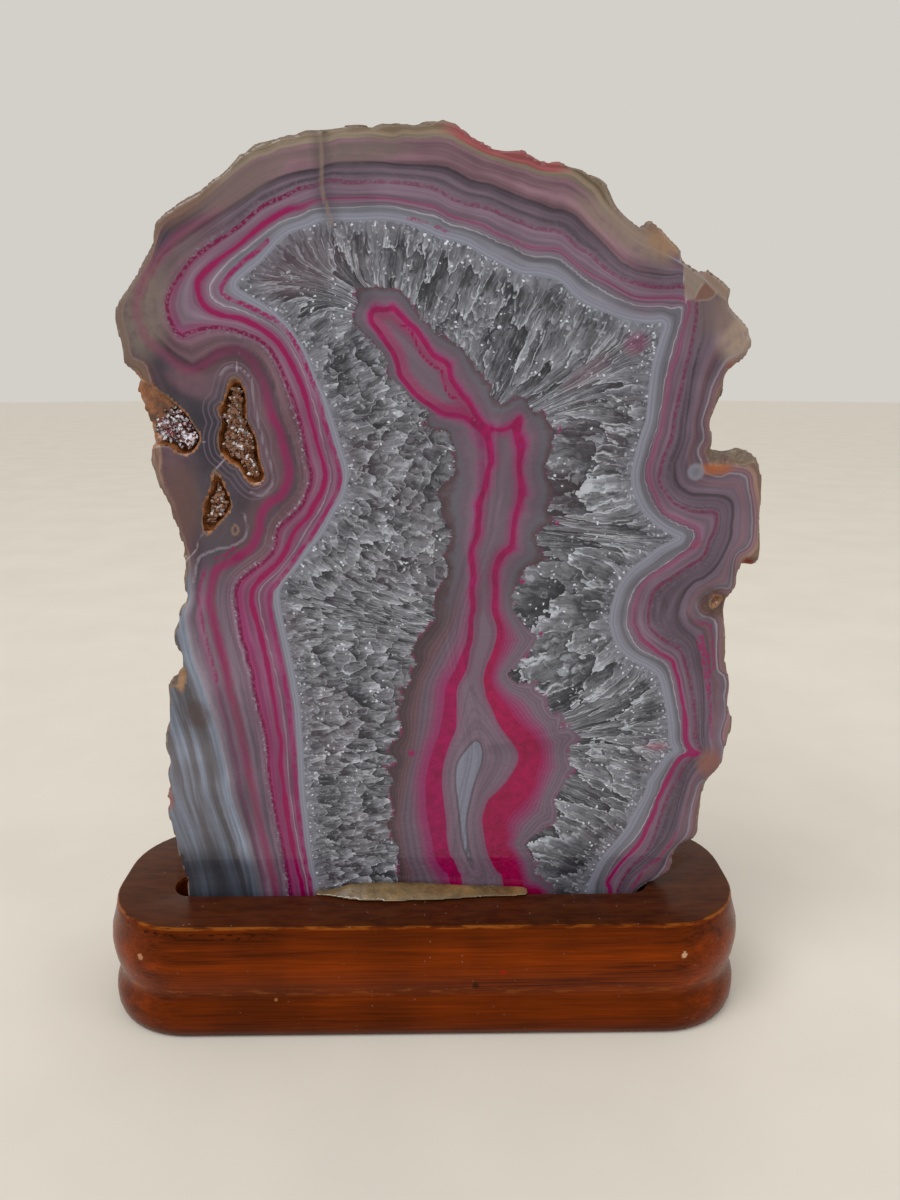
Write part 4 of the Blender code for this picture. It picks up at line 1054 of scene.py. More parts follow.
class StoneRecipe(Recipe):
    """The polished stone's nodes, with the marks and noises that its parts share."""

    def __init__(self, name):
        super().__init__(name)
        self.band, self.wall, self.rind = map(self.mark, ("band", "wall", "rind"))
        self.ring = self.mark("ring", "Vector")
        self.top, self.right, self.lower_left = self.parts(self.mark("zones", "Color"))
        self.stain, self.stained = self.mark("stain", "Color"), self.mark("stain", "Alpha")
        self.up = self.axes(self.place)[2]
        self.wobble = self.noise(self.place, 2.2)
        self.tiny = self.noise(self.place, 0.45, detail=2)
        self.patches = self.noise(self.place, 14.0, detail=2)
        along_bands = self.moved(self.ring, 0.035, self.vector(z=self.times(self.band, 4.2)))
        self.stripes = self.noise(along_bands, detail=5)

    def vein(self, distance, width, ragged=0.35):
        """How much a vein shows at a signed or plain distance from its line."""
        apart = self.plus(self.maths("ABSOLUTE", distance), self.swing(self.wobble, ragged))
        return self.step(apart, width, width * 0.45)


def banded_wall(r, c):
    """The walls from the rim to the quartz, with the chalky lower left, stains, white lines and a
    painted reflection of the dark stand low on the lower left.
    """
    wavy_band = r.plus(r.band, r.swing(r.wobble, 0.10))
    top, left, low, right = (r.ramp(wavy_band, stops, BANDS) for stops in wall_ramps(c))
    chalk_lines = r.noise(r.moved(r.ring, 0.02, r.vector(z=r.times(r.rind, 0.42))))
    chalk = r.ramp(chalk_lines, [
        (0.3, shade(c.clay, 0.8)), (0.45, c.clay), (0.55, between(c.clay, c.chalk, 0.5)),
        (0.66, c.chalk),
    ])
    pale_edge = r.times(r.window(r.rind, (-2.6, -0.2), (1.2, 0.1)), 0.8)
    # Painted reflection: the dark stand mirrored in the polished face, darker below about 40 mm on
    # the lower left
    painted_stand_reflection = r.step(r.plus(r.up, r.times(r.patches, 5.0)), 46.0, 39.0)
    colour = r.layered(
        left,
        (r.lower_left, low),
        (r.top, top),
        (r.right, right),
        (r.times(r.mark("rosy"), r.step(r.rind, -0.3, -0.8), 0.85), c.salmon_rind),
        (r.times(r.lower_left, r.step(r.rind, 1.2, -0.8)),
         r.blend(pale_edge, chalk, shade(c.chalk, 1.15))),
        (r.times(painted_stand_reflection, r.lower_left, r.step(r.rind, 4.0, -0.5), 0.65),
         shade(c.chalk, 0.14)),
    )
    colour = r.tinted(colour, r.step(r.stripes, 0.25, 0.75, 0.68, 1.32))
    colour = r.tinted(colour, r.step(r.patches, 0.3, 0.7, 0.86, 1.14))

    hollow = r.mark("tall_hollow")
    rings = r.times(r.step(hollow, -4.2, -3.2), r.step(r.wave(hollow, 5.2), 0.2, 0.9))
    left_border = r.times(r.step(r.wall, -1.6, -1.15), r.rest_of(r.right))
    wide_border = r.times(r.step(r.wall, -2.6, -0.9), 0.8)
    border = r.tinted(c.border, r.step(r.wave(r.wall, 8.0), -1, 1, 0.86, 1.06))
    return r.layered(
        colour,
        (r.times(r.stained, r.step(r.wobble, 0.25, 0.6, 0.6, 1.1)), r.stain),
        (r.times(r.vein(r.mark("loops"), 0.5, 0.15), 0.42), c.pearl),
        (r.times(rings, 0.5), c.lilac),
        (r.maths("MAXIMUM", left_border, wide_border), border),
    )


def with_veins(r, c, colour, main_width):
    """The colour with the crumbs, glows and veins that follow the bands."""
    main_strength, outer_strength, edge_strength = r.parts(r.mark("strength", "Color"))
    outer, main = r.mark("outer_vein"), r.mark("main_vein")
    beads = r.pick(0.55)
    dots = r.step(r.noise(r.place, 0.9, detail=2), 0.4, 0.56)
    crumbs = r.times(r.window(outer, (-3.2, -0.6), (0.2, -0.4)), outer_strength,
                     r.step(beads, 0.62, 0.9))
    pink_flow = r.times(r.window(outer, (-0.1, 0.3), (2.6, 0.7)), outer_strength)
    glow = r.times(r.window(main, (-1.9, -0.2), (1.9, 0.3)), main_strength,
                   r.fade(r.right, 0.5, 0.15))
    edge_apart = r.plus(r.mark("edge_vein"), r.swing(r.wobble, 0.8))
    edge = r.times(r.step(edge_apart, 1.9, 0.1), edge_strength,
                   r.step(r.patches, 0.3, 0.55, 0.7, 1.0))
    outer_line = r.times(r.vein(outer, 0.6, 0.6), outer_strength, r.fade(dots, 0.35, 1))
    # Painted sparkle: white glints just outside the outer vein
    sparkle = r.times(r.window(outer, (-1.5, -0.8), (-0.1, -0.5)), outer_strength,
                      r.step(beads, 0.72, 0.8), r.step(r.tiny, 0.45, 0.55), edge_strength)
    thickness = r.step(r.noise(r.place, 7.0, detail=2), 0.35, 0.65, 0.55, 1.0)
    apart = r.plus(r.maths("ABSOLUTE", main), r.swing(r.wobble, 0.4))
    main_line = r.step(r.maths("DIVIDE", apart, r.times(thickness, main_width)), 1.0, 0.35)
    beaded = r.step(r.noise(r.place, 2.6, detail=3), 0.35, 0.6, 0.5, 1.0)
    thin_line = r.times(r.vein(r.mark("thin_vein"), 0.6, 0.4), r.fade(dots, 0.3, 1))
    return r.layered(
        colour,
        (r.times(crumbs, 0.55), c.lilac),
        (r.times(pink_flow, r.times(r.plus(edge_strength, 0.25), 0.5)),
         between(c.rose, c.magenta, 0.45)),
        (glow, between(c.rose, c.magenta, 0.4)),
        (r.times(edge, 0.8), between(c.magenta, c.rose, 0.2)),
        (r.times(outer_line, 0.95), shade(c.magenta, 0.6)),
        (r.times(sparkle, 0.7), shade(c.quartz_white, 0.8)),
        (r.times(main_line, main_strength), c.magenta),
        (r.times(r.vein(r.mark("soft_vein"), 0.75, 0.5), beaded), between(c.rose, c.magenta, 0.6)),
        (r.times(thin_line, 0.7), between(c.magenta, c.rose, 0.15)),
    )


def figure_body(r, c, figure, side, high):
    """The figure outside its red line: smoky on its left side, rosier on its right one."""
    left = r.ramp(figure, [
        (0.0, shade(c.halo, 0.8)), (0.2, c.halo), (0.34, between(c.halo, c.mauve, 0.5)),
        (0.45, shade(c.mauve, 0.9)), (0.6, shade(c.lilac, 0.75)), (0.8, shade(c.lilac, 0.85)),
        (0.99, between(c.lilac, c.rose, 0.5)),
    ])
    right = r.ramp(figure, [
        (0.0, shade(c.lilac, 0.75)), (0.12, c.lilac), (0.2, shade(c.lilac, 0.85)),
        (0.4, shade(c.lilac, 0.95)), (0.55, between(c.lilac, c.rose, 0.6)),
        (0.8, between(c.rose, c.crimson, 0.35)), (0.98, between(c.rose, c.crimson, 0.8)),
    ])
    high_figure = r.ramp(r.plus(figure, r.swing(r.wobble, 0.4)), [
        (0.0, shade(c.dusk, 0.9)), (0.12, shade(c.halo, 1.05)), (0.3, shade(c.blue_band, 0.6)),
        (0.55, shade(c.lilac, 0.72)), (0.72, shade(c.lilac, 0.85)),
        (0.86, between(c.lilac, c.rose, 0.7)), (0.99, between(c.rose, c.magenta, 0.3)),
    ])
    contours = r.step(r.wave(figure, 60.0), -1.0, 1.0, 0.9, 1.08)
    brown = r.times(r.step(r.wobble, 0.42, 0.62), r.step(figure, 0.36, 0.1),
                    r.step(r.up, 70.0, 92.0, 0.3, 1.0), r.rest_of(side), 0.45)
    glow = r.times(r.step(r.mark("red_outer"), -4.6, -0.3), r.rest_of(side),
                   r.step(r.up, 104.0, 84.0, 0.25, 0.95))
    return r.layered(
        r.tinted(r.blend(side, left, right), contours),
        (brown, c.dusk),
        (glow, between(c.rose, c.magenta, 0.35)),
        (r.times(high, 0.9), high_figure),
    )


def figure_inside(r, c, figure, red_inner, high):
    """The figure within its red line: fine lilac lines, rosier beside the red line."""
    inside = r.ramp(r.maths("SUBTRACT", figure, 2.0), [
        (0.0, shade(c.lilac, 0.95)), (0.35, c.lilac), (0.55, shade(c.lilac, 0.85)),
        (0.75, shade(c.lilac, 1.05)), (1.0, shade(c.lilac, 0.95)),
    ])
    rosy_rim = r.times(r.step(red_inner, 2.2, 0.1), r.fade(high, 0.35, 0.85))
    fine_lines = r.step(r.wave(figure, 44.0), 0.4, 0.95)
    return r.layered(
        inside,
        (rosy_rim, between(c.rose, c.magenta, 0.3)),
        (r.times(fine_lines, 0.25), shade(c.mauve, 0.6)),
    )


def with_figure(r, c, colour):
    """The colour with the figure over it: its body, its red line, spindle, arm and ragged rim."""
    figure, side, arm, heart, red_outer, red_inner = map(
        r.mark, ("figure", "side", "arm", "heart", "red_outer", "red_inner"))
    high = r.step(r.up, 94.0, 116.0)
    outline = r.times(r.window(heart, (-0.55, -0.1), (0.35, 0.0)), 0.55)
    red_colour = r.blend(side, between(c.magenta, c.crimson, 0.3), c.crimson)
    red_colour = r.blend(r.step(r.up, 92.0, 112.0), red_colour, shade(c.magenta, 1.05))
    red_colour = r.tinted(red_colour, r.step(r.wobble, 0.3, 0.7, 0.8, 1.12))
    lens = r.blend(r.step(red_outer, 3.8, 1.8), shade(c.lilac, 0.9),
                   between(c.rose, c.salmon_rind, 0.25))
    body = r.layered(
        figure_body(r, c, figure, side, high),
        (r.step(red_inner, -0.15, 0.15), figure_inside(r, c, figure, red_inner, high)),
        (r.step(heart, -0.2, 0.2), c.spindle),
        (outline, c.dusk),
        (r.times(r.step(red_outer, -0.2, 0.25), r.step(red_inner, 0.25, -0.15)), red_colour),
        (r.times(arm, r.step(red_outer, 0.8, 1.2)), lens),
        (r.times(r.vein(r.mark("arm_line"), 0.5), arm), c.magenta),
    )
    body = r.tinted(body, r.step(r.stripes, 0.3, 0.7, 0.85, 1.15))
    body = r.blend(r.times(r.stained, 0.8), body, r.stain)
    ragged = r.plus(r.swing(r.tiny, 2.0), r.swing(r.wobble, 2.6))
    edge = r.plus(r.mark("halo"), ragged)
    rim = r.times(r.window(edge, (-0.5, 0.0), (0.9, 0.2)), r.step(r.wobble, 0.48, 0.62))
    return r.layered(
        colour,
        (r.step(edge, -0.2, 0.3), body),
        (r.times(rim, r.fade(high, 0.55, 0.25)), between(c.rose, c.magenta, 0.5)),
    )


def with_damage(r, c, colour, in_quartz):
    """The colour with specks, the blue eye, the seam, cracks, broken plates and hollow lips."""
    eye, seam, hollow = r.mark("blue_eye"), r.mark("seam"), r.mark("hollow")
    beside_seam = r.times(r.step(seam, 3.0, 0.4), r.rest_of(in_quartz), 0.35)
    colour = r.layered(
        colour,
        (r.times(r.step(r.mark("specks"), 0.15, -0.15), 0.85), between(c.magenta, c.rose, 0.3)),
        (r.times(r.step(eye, -0.5, 0.3), 0.8), shade(c.border, 0.85)),
        (r.times(r.step(eye, 0.5, 1.4), 0.7), shade(c.border, 0.55)),
        (beside_seam, shade(c.dusk, 0.8)),
        (r.times(r.step(seam, 0.7, 0.25), 0.55), between(c.cream, c.tan_rind, 0.4)),
        (r.times(r.step(r.mark("cracks"), 0.36, 0.08), 0.6), shade(c.pearl, 1.2)),
    )
    plate_colours = (c.cream, between(c.cream, c.skin, 0.25), between(c.tan_rind, c.skin, 0.4))
    for depth, plate in zip(r.parts(r.mark("plates", "Color")), plate_colours):
        colour = r.layered(
            colour,
            (r.times(r.step(depth, 0.0, 0.3), 0.7), plate),
            (r.times(r.window(depth, (-0.35, 0.0), (0.4, 0.1)), 0.3), shade(c.cream, 1.3)),
        )
    rough_lip = r.plus(hollow, r.swing(r.tiny, 0.8))
    lip = r.times(r.step(rough_lip, -0.5, -0.1), r.step(hollow, 0.4, 0.0))
    return r.blend(r.times(lip, 0.75), colour, between(c.cream, c.skin, 0.45))


def polished_agate(c, sizes):
    r = StoneRecipe("polished_agate")
    colour = with_veins(r, c, banded_wall(r, c), sizes.main_vein)
    ice, ice_level = quartz_look(r, c, r.maths("MAXIMUM", r.top, r.right))
    ice = r.layered(
        ice,
        (r.times(r.step(r.noise(r.place, 24.0, detail=2), 0.5, 0.7), 0.14), c.mauve),
        (r.times(r.stained, 0.8), r.stain),
    )
    in_quartz = r.step(r.plus(r.wall, r.swing(r.tiny, 0.8)), -0.1, 0.15)
    colour = with_figure(r, c, r.blend(in_quartz, colour, ice))
    colour = with_damage(r, c, colour, in_quartz)
    colour = r.blend(1.0, colour, (GLOSS_VEIL,) * 3, "SUBTRACT")
    polish_marks = r.times(r.noise(r.place, 1.1, detail=1), r.step(r.wall, -0.1, 0.6))
    return r.finish(
        Base_Color=colour, Roughness=r.step(ice_level, 0.2, 0.9, 0.16, 0.4),
        Normal=r.bump(polish_marks, 0.3, 0.5), Coat_Weight=0.45, Coat_Roughness=0.03,
        Specular_IOR_Level=0.15,
    )


def rough_rind(c):
    r = Recipe("rough_rind")
    lumps = r.noise(r.place, 3.2, detail=6)
    pits = r.cells(r.place, 1.6)
    grains = r.pick(0.5)
    colour = r.layered(
        r.ramp(lumps, [
            (0.25, shade(c.olive_rind, 0.35)), (0.42, shade(c.tan_rind, 0.75)),
            (0.55, c.olive_rind), (0.72, c.cream),
        ]),
        (r.times(r.step(grains, 0.6, 0.95), 0.3), shade(c.cream, 1.15)),
        (r.times(r.mark("rosy"), 0.6), c.salmon_rind),
        (r.times(r.mark("stain", "Alpha"), 0.8), r.mark("stain", "Color")),
    )
    return r.finish(
        Base_Color=colour, Roughness=r.fade(grains, 0.45, 0.8),
        Normal=r.bump(pits, 0.5, 0.5, r.bump(lumps, 0.6, 0.8)), Specular_IOR_Level=0.4,
    )


def hollow_skin(c):
    r = Recipe("hollow_skin")
    lumps = r.noise(r.place, 2.4, detail=5)
    swirls = r.noise(r.place, 0.7, detail=3)
    colour = r.ramp(lumps, [
        (0.3, shade(c.skin, 0.35)), (0.44, shade(c.skin, 0.9)), (0.58, shade(c.skin, 1.5)),
        (0.72, between(c.skin, c.cream, 0.5)),
    ])
    return r.finish(
        Base_Color=colour, Roughness=r.step(swirls, 0.3, 0.7, 0.15, 0.4),
        Normal=r.bump(r.plus(lumps, r.times(swirls, 0.4)), 0.7, 0.8),
        Coat_Weight=0.5, Coat_Roughness=0.12,
    )


def crystal_points(c, name, pale):
    r = Recipe(name)
    grains = r.pick(0.6)
    # The white dots are painted glints on the crystal points
    if pale:
        stops = [(0.3, shade(c.skin, 0.2)), (0.5, shade(between(c.skin, c.salmon_rind, 0.6), 0.5)),
                 (0.7, shade(c.salmon_rind, 0.8))]
        glint_amount, glint_colour = r.step(grains, 0.6, 0.78), shade(c.quartz_white, 1.7)
    else:
        stops = [(0.3, shade(c.skin, 0.6)), (0.5, between(c.skin, c.tan_rind, 0.35)),
                 (0.7, between(c.skin, c.cream, 0.5))]
        glint_amount, glint_colour = r.step(grains, 0.84, 0.94), shade(c.quartz_white, 1.4)
    patches = r.noise(r.place, 2.6)
    return r.finish(
        Base_Color=r.blend(r.times(glint_amount, 0.85), r.ramp(patches, stops), glint_colour),
        Roughness=r.fade(grains, 0.1, 0.35), Coat_Weight=0.6, Coat_Roughness=0.06,
    )


def wood_chip(r, fine, across, deep, up, chip):
    """How much a chip in the stand's front shows, and its colour."""
    x, z, radius, tint = chip
    apart = r.maths("SQRT", r.plus(r.maths("POWER", r.maths("SUBTRACT", across, x), 2.0),
                                   r.maths("POWER", r.maths("SUBTRACT", up, z), 2.0)))
    apart = r.plus(apart, r.swing(fine, 1.6))
    shown = r.times(r.step(apart, radius, radius * 0.6), r.step(deep, -22.0, -24.0), 0.85)
    return shown, photo(*tint)


def lacquered_wood(s):
    r = Recipe("lacquered_wood")
    across, deep, up = r.axes(r.place)
    along = r.moved(r.place, (0.012, 0.3, 0.3))
    grain = r.noise(along, detail=6, distortion=0.4)
    fine = r.noise(r.moved(r.place, (0.05, 1.9, 1.9)))
    pores = r.noise(r.moved(r.place, (0.12, 4.5, 4.5)), detail=2)
    level = r.plus(r.times(grain, 0.6), r.times(fine, 0.4))
    colour = r.ramp(level, [
        (0.34, shade(s.wood_dark, 0.9)), (0.43, between(s.wood_dark, s.wood, 0.6)),
        (0.53, s.wood), (0.66, shade(s.wood, 1.6)),
    ])
    colour = r.blend(r.times(r.step(pores, 0.38, 0.28), 0.25), colour, s.wood_dark)
    # Painted light and shade by height: painted shadow at the foot, painted shade in the crease
    # and under the rim, lighter bulges
    painted_shade_by_height = [(place, (tone,) * 3) for place, tone in WOOD_LIGHT_AND_SHADE]
    colour = r.blend(1.0, colour, r.ramp(up, painted_shade_by_height, STAND_HEIGHT), "MULTIPLY")
    patches = r.noise(r.place, 30.0, detail=3)
    colour = r.tinted(colour, r.step(patches, 0.3, 0.7, 0.75, 1.2))

    top = r.step(up, 29.5, 29.95)
    dusty = r.blend(r.step(r.noise(along, 2.0, detail=5), 0.4, 0.65), s.wood_top,
                    shade(s.wood_top, 1.5))
    scuffs = r.noise(r.moved(r.place, (0.16, 0.5, 0.9)))
    worn = r.times(r.window(up, (28.9, 29.5), (30.05, 29.8)), r.step(scuffs, 0.4, 0.58))
    crease_worn = r.times(r.window(up, (10.6, 12.2), (14.5, 12.4)), r.step(scuffs, 0.5, 0.6))
    scratches = r.step(r.noise(r.moved(r.place, (0.5, 0.5, 1.4))), 0.56, 0.62)
    nicks = r.times(r.window(up, (26.4, 27.2), (28.9, 28.3)), r.step(across, -30.0, -45.0),
                    scratches)
    speck = r.times(r.step(r.cells(r.place, 1.3), 0.16, 0.07), r.step(r.pick(1.3), 0.86, 0.92))
    colour = r.layered(
        colour,
        (r.times(top, 0.85), dusty),
        (r.times(worn, 0.65), s.wood_worn),
        (r.times(crease_worn, 0.35), s.wood_worn),
        (r.times(nicks, 0.85), shade(s.wood_dark, 0.3)),
        *(wood_chip(r, fine, across, deep, up, chip) for chip in WOOD_CHIPS),
        (r.times(speck, r.fade(top, 0.25, 0.45)), shade(s.floor, 0.6)),
    )
    return r.finish(
        Base_Color=colour, Roughness=r.step(fine, 0.3, 0.7, 0.2, 0.36),
        Normal=r.bump(nicks, -0.6, 0.4, r.bump(level, 0.16, 0.35)),
        Coat_Weight=r.fade(top, 0.07, 0.02), Coat_Roughness=0.08, Specular_IOR_Level=0.12,
        Specular_Tint=(1.0, 0.4, 0.1, 1.0),
    )


def set_glue(s):
    r = Recipe("set_glue")
    colour = r.ramp(r.noise(r.place, 4.0), [
        (0.3, shade(s.glue, 0.45)), (0.5, shade(s.glue, 0.85)), (0.7, shade(s.glue, 1.35)),
    ])
    # Painted highlights: small pale dots standing in for light caught on little air pockets in the
    # glue
    painted_bubble_highlights = r.step(r.cells(r.place, 1.4), 0.22, 0.1)
    colour = r.blend(r.times(painted_bubble_highlights, 0.4), colour, shade(s.glue, 1.8))
    relief = r.bump(r.noise(r.place, 1.6, detail=3), 0.5, 0.6)
    return r.finish(
        Base_Color=colour, Roughness=0.1, Normal=relief, Coat_Weight=1.0, Coat_Roughness=0.03,
    )


def plain_floor(s):
    r = Recipe("plain_floor")
    tone = r.step(r.noise(r.place, 60.0, detail=3), 0.3, 0.7, 0.97, 1.02)
    return r.finish(Base_Color=r.tinted(s.floor, tone), Roughness=0.9)


def deselect_all():
    if bpy.context.object and bpy.context.object.mode != "OBJECT":
        bpy.ops.object.mode_set(mode="OBJECT")
    bpy.ops.object.select_all(action="DESELECT")


def make_active(obj):
    deselect_all()
    obj.select_set(True)
    bpy.context.view_layer.objects.active = obj


def merged_copy(node, name):
    """A copy of a CAD node whose loose triangles are joined into one skin."""
    copy = bpy.data.objects.new(name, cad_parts[node].data.copy())
    copy.data.name = name
    copy.data.materials.clear()
    bpy.context.scene.collection.objects.link(copy)
    make_active(copy)
    bpy.ops.object.mode_set(mode="EDIT")
    bpy.ops.mesh.select_all(action="SELECT")
    bpy.ops.mesh.remove_doubles(threshold=0.001 * MM)
    bpy.ops.mesh.normals_make_consistent(inside=False)
    bpy.ops.object.mode_set(mode="OBJECT")
    return copy


def apply_modifier(obj, kind, **settings):
    made = obj.modifiers.new(kind.title(), kind)
    for key, value in settings.items():
        setattr(made, key, value)
    make_active(obj)
    bpy.ops.object.modifier_apply(modifier=made.name)


def triples(items, key):
    """A three-number property of every item, a row for each."""
    values = np.empty(len(items) * 3)
    items.foreach_get(key, values)
    return values.reshape(-1, 3)


def set_points(mesh, points):
    mesh.vertices.foreach_set("co", (points * MM).ravel())
    mesh.update()


def rides(obj, node):
    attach(obj, "root")
    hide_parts(node)


class AGATE_OT_slice(bpy.types.Operator):
    """Makes the polished slice with its bands, its figure and its broken rind"""

    bl_idname = "agate.slice"
    bl_label = "Agate slice"

    def execute(self, context):
        looks = context.scene.agate_stone
        sizes = context.scene.agate_sizes
        obj = merged_copy("agate_slice", "dressed_agate_slice")
        apply_modifier(obj, "REMESH", mode="VOXEL", voxel_size=sizes.grain * MM)
        mesh = obj.data
        points = triples(mesh.vertices, "co") / MM
        for face_y in (FRONT_Y, BACK_Y):
            flat = np.abs(points[:, 1] - face_y) < SNAP
            points[flat, 1] = face_y
        self.roughen(points, triples(mesh.vertices, "normal"), sizes.rind_relief)
        set_points(mesh, points)
        at = points[:, [0, 2]]
        marks = {**wall_marks(at), **figure_marks(at), **damage_marks(at)}
        marks["hollow"][points[:, 1] > BACK_Y - 1] = -9
        add_marks(mesh, marks)

        for material in (polished_agate(looks, sizes), rough_rind(looks), hollow_skin(looks)):
            mesh.materials.append(material)
        mesh.polygons.foreach_set("material_index", self.kinds(mesh))
        make_active(obj)
        bpy.ops.object.shade_smooth_by_angle(angle=math.radians(40))
        rides(obj, "agate_slice")
        return {"FINISHED"}

    def roughen(self, points, normals, relief):
        """Sinks small bumps into the rim between the two polished faces."""
        rim = (points[:, 1] > FRONT_Y + RIM_INSET) & (points[:, 1] < BACK_Y - RIM_INSET)
        for index in np.flatnonzero(rim):
            lump = noise.fractal(Vector(points[index]) / 2.4, 0.8, 2.0, 4) - 0.25
            points[index] += normals[index] * min(lump, 0.0) * relief * 2

    def kinds(self, mesh):
        """Each polygon's material: polished (0), rind (1) or the lining of a hollow (2)."""
        centres = triples(mesh.polygons, "center") / MM
        y = centres[:, 1]
        facing = triples(mesh.polygons, "normal")[:, 1]
        flat = (np.abs(facing) > 0.8) & ((y < FRONT_Y + 0.2) | (y > BACK_Y - 0.2))
        hollow = np.max(hollow_depths(centres[:, [0, 2]]), axis=0)
        lining = (hollow > -0.7) & (y < FRONT_Y + 6) & ~flat
        return np.where(flat, 0, np.where(lining, 2, 1)).astype(np.int32)


def one_crystal():
    """A six-sided prism with a pointed end, a unit across and a unit long."""
    deselect_all()
    bpy.ops.mesh.primitive_cylinder_add(vertices=6, radius=0.5, depth=1, location=(0, 0, 0))
    crystal = bpy.context.object
    bpy.ops.object.mode_set(mode="EDIT")
    bpy.ops.mesh.select_all(action="DESELECT")
    bpy.ops.object.mode_set(mode="OBJECT")
    for face in crystal.data.polygons:
        face.select = face.normal.z > 0.9
    bpy.ops.object.mode_set(mode="EDIT")
    bpy.ops.mesh.extrude_region_move(TRANSFORM_OT_translate={"value": (0, 0, 0.4)})
    bpy.ops.transform.resize(value=(0.12, 0.12, 1), center_override=(0, 0, 0.9))
    bpy.ops.object.mode_set(mode="OBJECT")
    return crystal


class AGATE_OT_crystals(bpy.types.Operator):
    """Grows the small crystal points that line the three hollows"""

    bl_idname = "agate.crystals"
    bl_label = "Hollow crystals"

    def execute(self, context):
        looks = context.scene.agate_stone
        sizes = context.scene.agate_sizes
        pattern = one_crystal()
        shape = np.array([vertex.co for vertex in pattern.data.vertices])
        sides = [list(face.vertices) for face in pattern.data.polygons]
        crusts = (
            ("edge_pocket_crystals", "pale_crystals", True, 1),
            ("tall_pocket_crystals", "brown_crystals", False, 2),
            ("small_pocket_crystals", "brown_crystals", False, 3),
        )
        for node, slot, pale, seed in crusts:
            obj = merged_copy(node, "dressed_" + node)
            self.grow(obj, shape, sides, sizes, seed)
            obj.data.materials.append(crystal_points(looks, "crystals_of_" + node, pale))
            rides(obj, node)
        bpy.data.objects.remove(pattern)
        return {"FINISHED"}

    def grow(self, obj, shape, sides, sizes, seed):
        """Plants copies of the pattern on the crust's faces that look out of the hollow."""
        rng = np.random.default_rng(seed)
        mesh = obj.data
        mesh.calc_loop_triangles()
        base = triples(mesh.vertices, "co") / MM
        triangles = np.array([t.vertices[:] for t in mesh.loop_triangles])
        corners = base[triangles]
        cross = np.cross(corners[:, 1] - corners[:, 0], corners[:, 2] - corners[:, 0])
        area = np.linalg.norm(cross, axis=1) / 2
        ahead = -cross[:, 1] / np.maximum(2 * area, 1e-9)
        weight = np.where(ahead > 0.25, area, 0)
        count = int(sizes.crystals * weight.sum() / 100)
        picks = rng.choice(len(triangles), count, p=weight / weight.sum())
        all_points, all_sides = [base], [list(face.vertices) for face in mesh.polygons]
        total = len(base)
        for pick in picks:
            u, v = rng.random(2)
            u, v = (1 - u, 1 - v) if u + v > 1 else (u, v)
            a, b, c = corners[pick]
            foot = a + (b - a) * u + (c - a) * v
            lean = Vector(cross[pick] / (2 * area[pick])) + Vector(rng.normal(0, 0.35, 3))
            lean.y = min(lean.y, -0.3)
            turn = lean.normalized().to_track_quat("Z", "Y").to_matrix()
            spin = Matrix.Rotation(rng.random() * math.pi, 3, "Z")
            width = sizes.crystal_width * math.exp(rng.normal(0, 0.35))
            room = max(0.4, foot[1] - FRONT_Y - 0.15)
            tall = min(width * rng.uniform(1.2, 2.0), room)
            grown = (shape * [width, width, tall]) @ np.array(turn @ spin).T
            grown = grown + foot
            grown[:, 1] = np.maximum(grown[:, 1], FRONT_Y + 0.1)
            all_points.append(grown)
            all_sides += [[total + i for i in side] for side in sides]
            total += len(grown)
        mesh.clear_geometry()
        mesh.from_pydata(np.vstack(all_points) * MM, [], all_sides)
        mesh.update()


class AGATE_OT_stand(bpy.types.Operator):
    """Makes the moulded, lacquered stand with softened, worn edges"""

    bl_idname = "agate.stand"
    bl_label = "Wooden stand"

    def execute(self, context):
        obj = merged_copy("wooden_stand", "dressed_wooden_stand")
        apply_modifier(
            obj, "BEVEL", width=0.45 * MM, segments=3, limit_method="ANGLE",
            angle_limit=math.radians(38),
        )
        obj.data.materials.append(lacquered_wood(context.scene.agate_stand))
        make_active(obj)
        bpy.ops.object.shade_smooth_by_angle(angle=math.radians(35))
        rides(obj, "wooden_stand")
        return {"FINISHED"}


class AGATE_OT_glue(bpy.types.Operator):
    """Makes the smooth bead of set glue along the slot"""

    bl_idname = "agate.glue"
    bl_label = "Glue bead"

    def execute(self, context):
        obj = merged_copy("glue_bead", "dressed_glue_bead")
        apply_modifier(obj, "REMESH", mode="VOXEL", voxel_size=0.5 * MM)
        apply_modifier(obj, "SMOOTH", factor=0.5, iterations=4)
        obj.data.materials.append(set_glue(context.scene.agate_stand))
        make_active(obj)
        bpy.ops.object.shade_smooth()
        rides(obj, "glue_bead")
        return {"FINISHED"}


def link(name, data, place, turn):
    """A new object in the scene, turned by the given angles in degrees."""
    obj = bpy.data.objects.new(name, data)
    obj.location = place
    obj.rotation_euler = [math.radians(part) for part in turn]
    bpy.context.scene.collection.objects.link(obj)
    return obj


def area_light(name, place, width, power):
    data = bpy.data.lights.new(name, "AREA")
    data.shape = "DISK"
    data.size = width
    data.energy = power
    aim = (Vector(LAMP_AIM) - Vector(place)).to_track_quat("-Z", "Y").to_euler()
    link(name, data, place, (0, 0, 0)).rotation_euler = aim


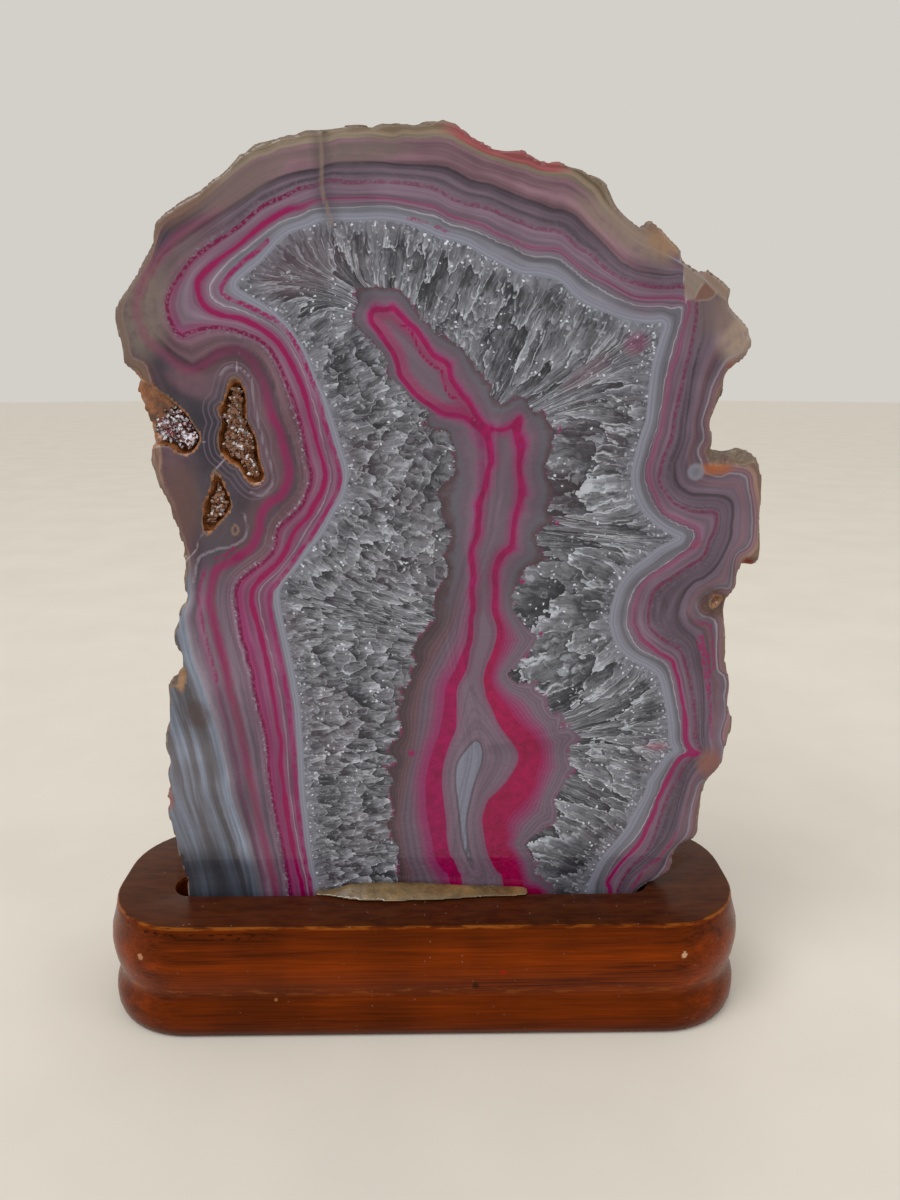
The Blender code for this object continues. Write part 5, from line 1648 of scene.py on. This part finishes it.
class AGATE_OT_stage(bpy.types.Operator):
    """Adds the plain floor, the soft studio light and the photograph's camera"""

    bl_idname = "agate.stage"
    bl_label = "Stage"

    def execute(self, context):
        deselect_all()
        bpy.ops.mesh.primitive_circle_add(
            vertices=96, radius=FLOOR_RADIUS, fill_type="NGON", location=(0, 0, 0))
        floor = bpy.context.object
        floor.name = "floor"
        floor.data.materials.append(plain_floor(context.scene.agate_stand))

        world = bpy.data.worlds.new("studio")
        world.use_nodes = True
        background = world.node_tree.nodes["Background"]
        background.inputs["Color"].default_value = SKY_COLOUR
        background.inputs["Strength"].default_value = 1.0
        context.scene.world = world
        context.scene.view_settings.view_transform = "Standard"
        sun = bpy.data.lights.new("soft_sun", "SUN")
        sun.energy = SUN_STRENGTH
        sun.angle = math.radians(SUN_SPREAD)
        link("soft_sun", sun, (0, 0, 0), SUN_TURN)
        for lamp in LAMPS:
            area_light(*lamp)

        data = bpy.data.cameras.new("camera")
        data.lens = CAMERA_LENS
        data.sensor_width = SENSOR_WIDTH
        data.clip_start = CLIP_START
        context.scene.camera = link("camera", data, CAMERA_PLACE, CAMERA_TURN)
        return {"FINISHED"}


PIECES = (AGATE_OT_slice, AGATE_OT_crystals, AGATE_OT_stand, AGATE_OT_glue, AGATE_OT_stage)


class AGATE_PT_panel(bpy.types.Panel):
    """Lists the pieces of the agate slice, and their sizes and colours"""

    bl_idname = "AGATE_PT_panel"
    bl_label = "Agate slice"
    bl_space_type = "VIEW_3D"
    bl_region_type = "UI"
    bl_category = "Agate"

    def draw(self, context):
        for piece in PIECES:
            self.layout.operator(piece.bl_idname)
        for group in (
                context.scene.agate_sizes, context.scene.agate_stone, context.scene.agate_stand):
            box = self.layout.box()
            for name in group.__annotations__:
                box.prop(group, name)


GROUPS = (AgateStoneColours, AgateSizes, AgateStandColours)


def register():
    for kind in (*GROUPS, *PIECES, AGATE_PT_panel):
        bpy.utils.register_class(kind)
    bpy.types.Scene.agate_stone = bpy.props.PointerProperty(type=AgateStoneColours)
    bpy.types.Scene.agate_sizes = bpy.props.PointerProperty(type=AgateSizes)
    bpy.types.Scene.agate_stand = bpy.props.PointerProperty(type=AgateStandColours)


def unregister():
    del bpy.types.Scene.agate_stone
    del bpy.types.Scene.agate_sizes
    del bpy.types.Scene.agate_stand
    for kind in reversed((*GROUPS, *PIECES, AGATE_PT_panel)):
        bpy.utils.unregister_class(kind)


def main():
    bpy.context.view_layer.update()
    register()
    bpy.ops.agate.slice()
    bpy.ops.agate.crystals()
    bpy.ops.agate.stand()
    bpy.ops.agate.glue()
    bpy.ops.agate.stage()
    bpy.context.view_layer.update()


if __name__ == "__main__":
    main()
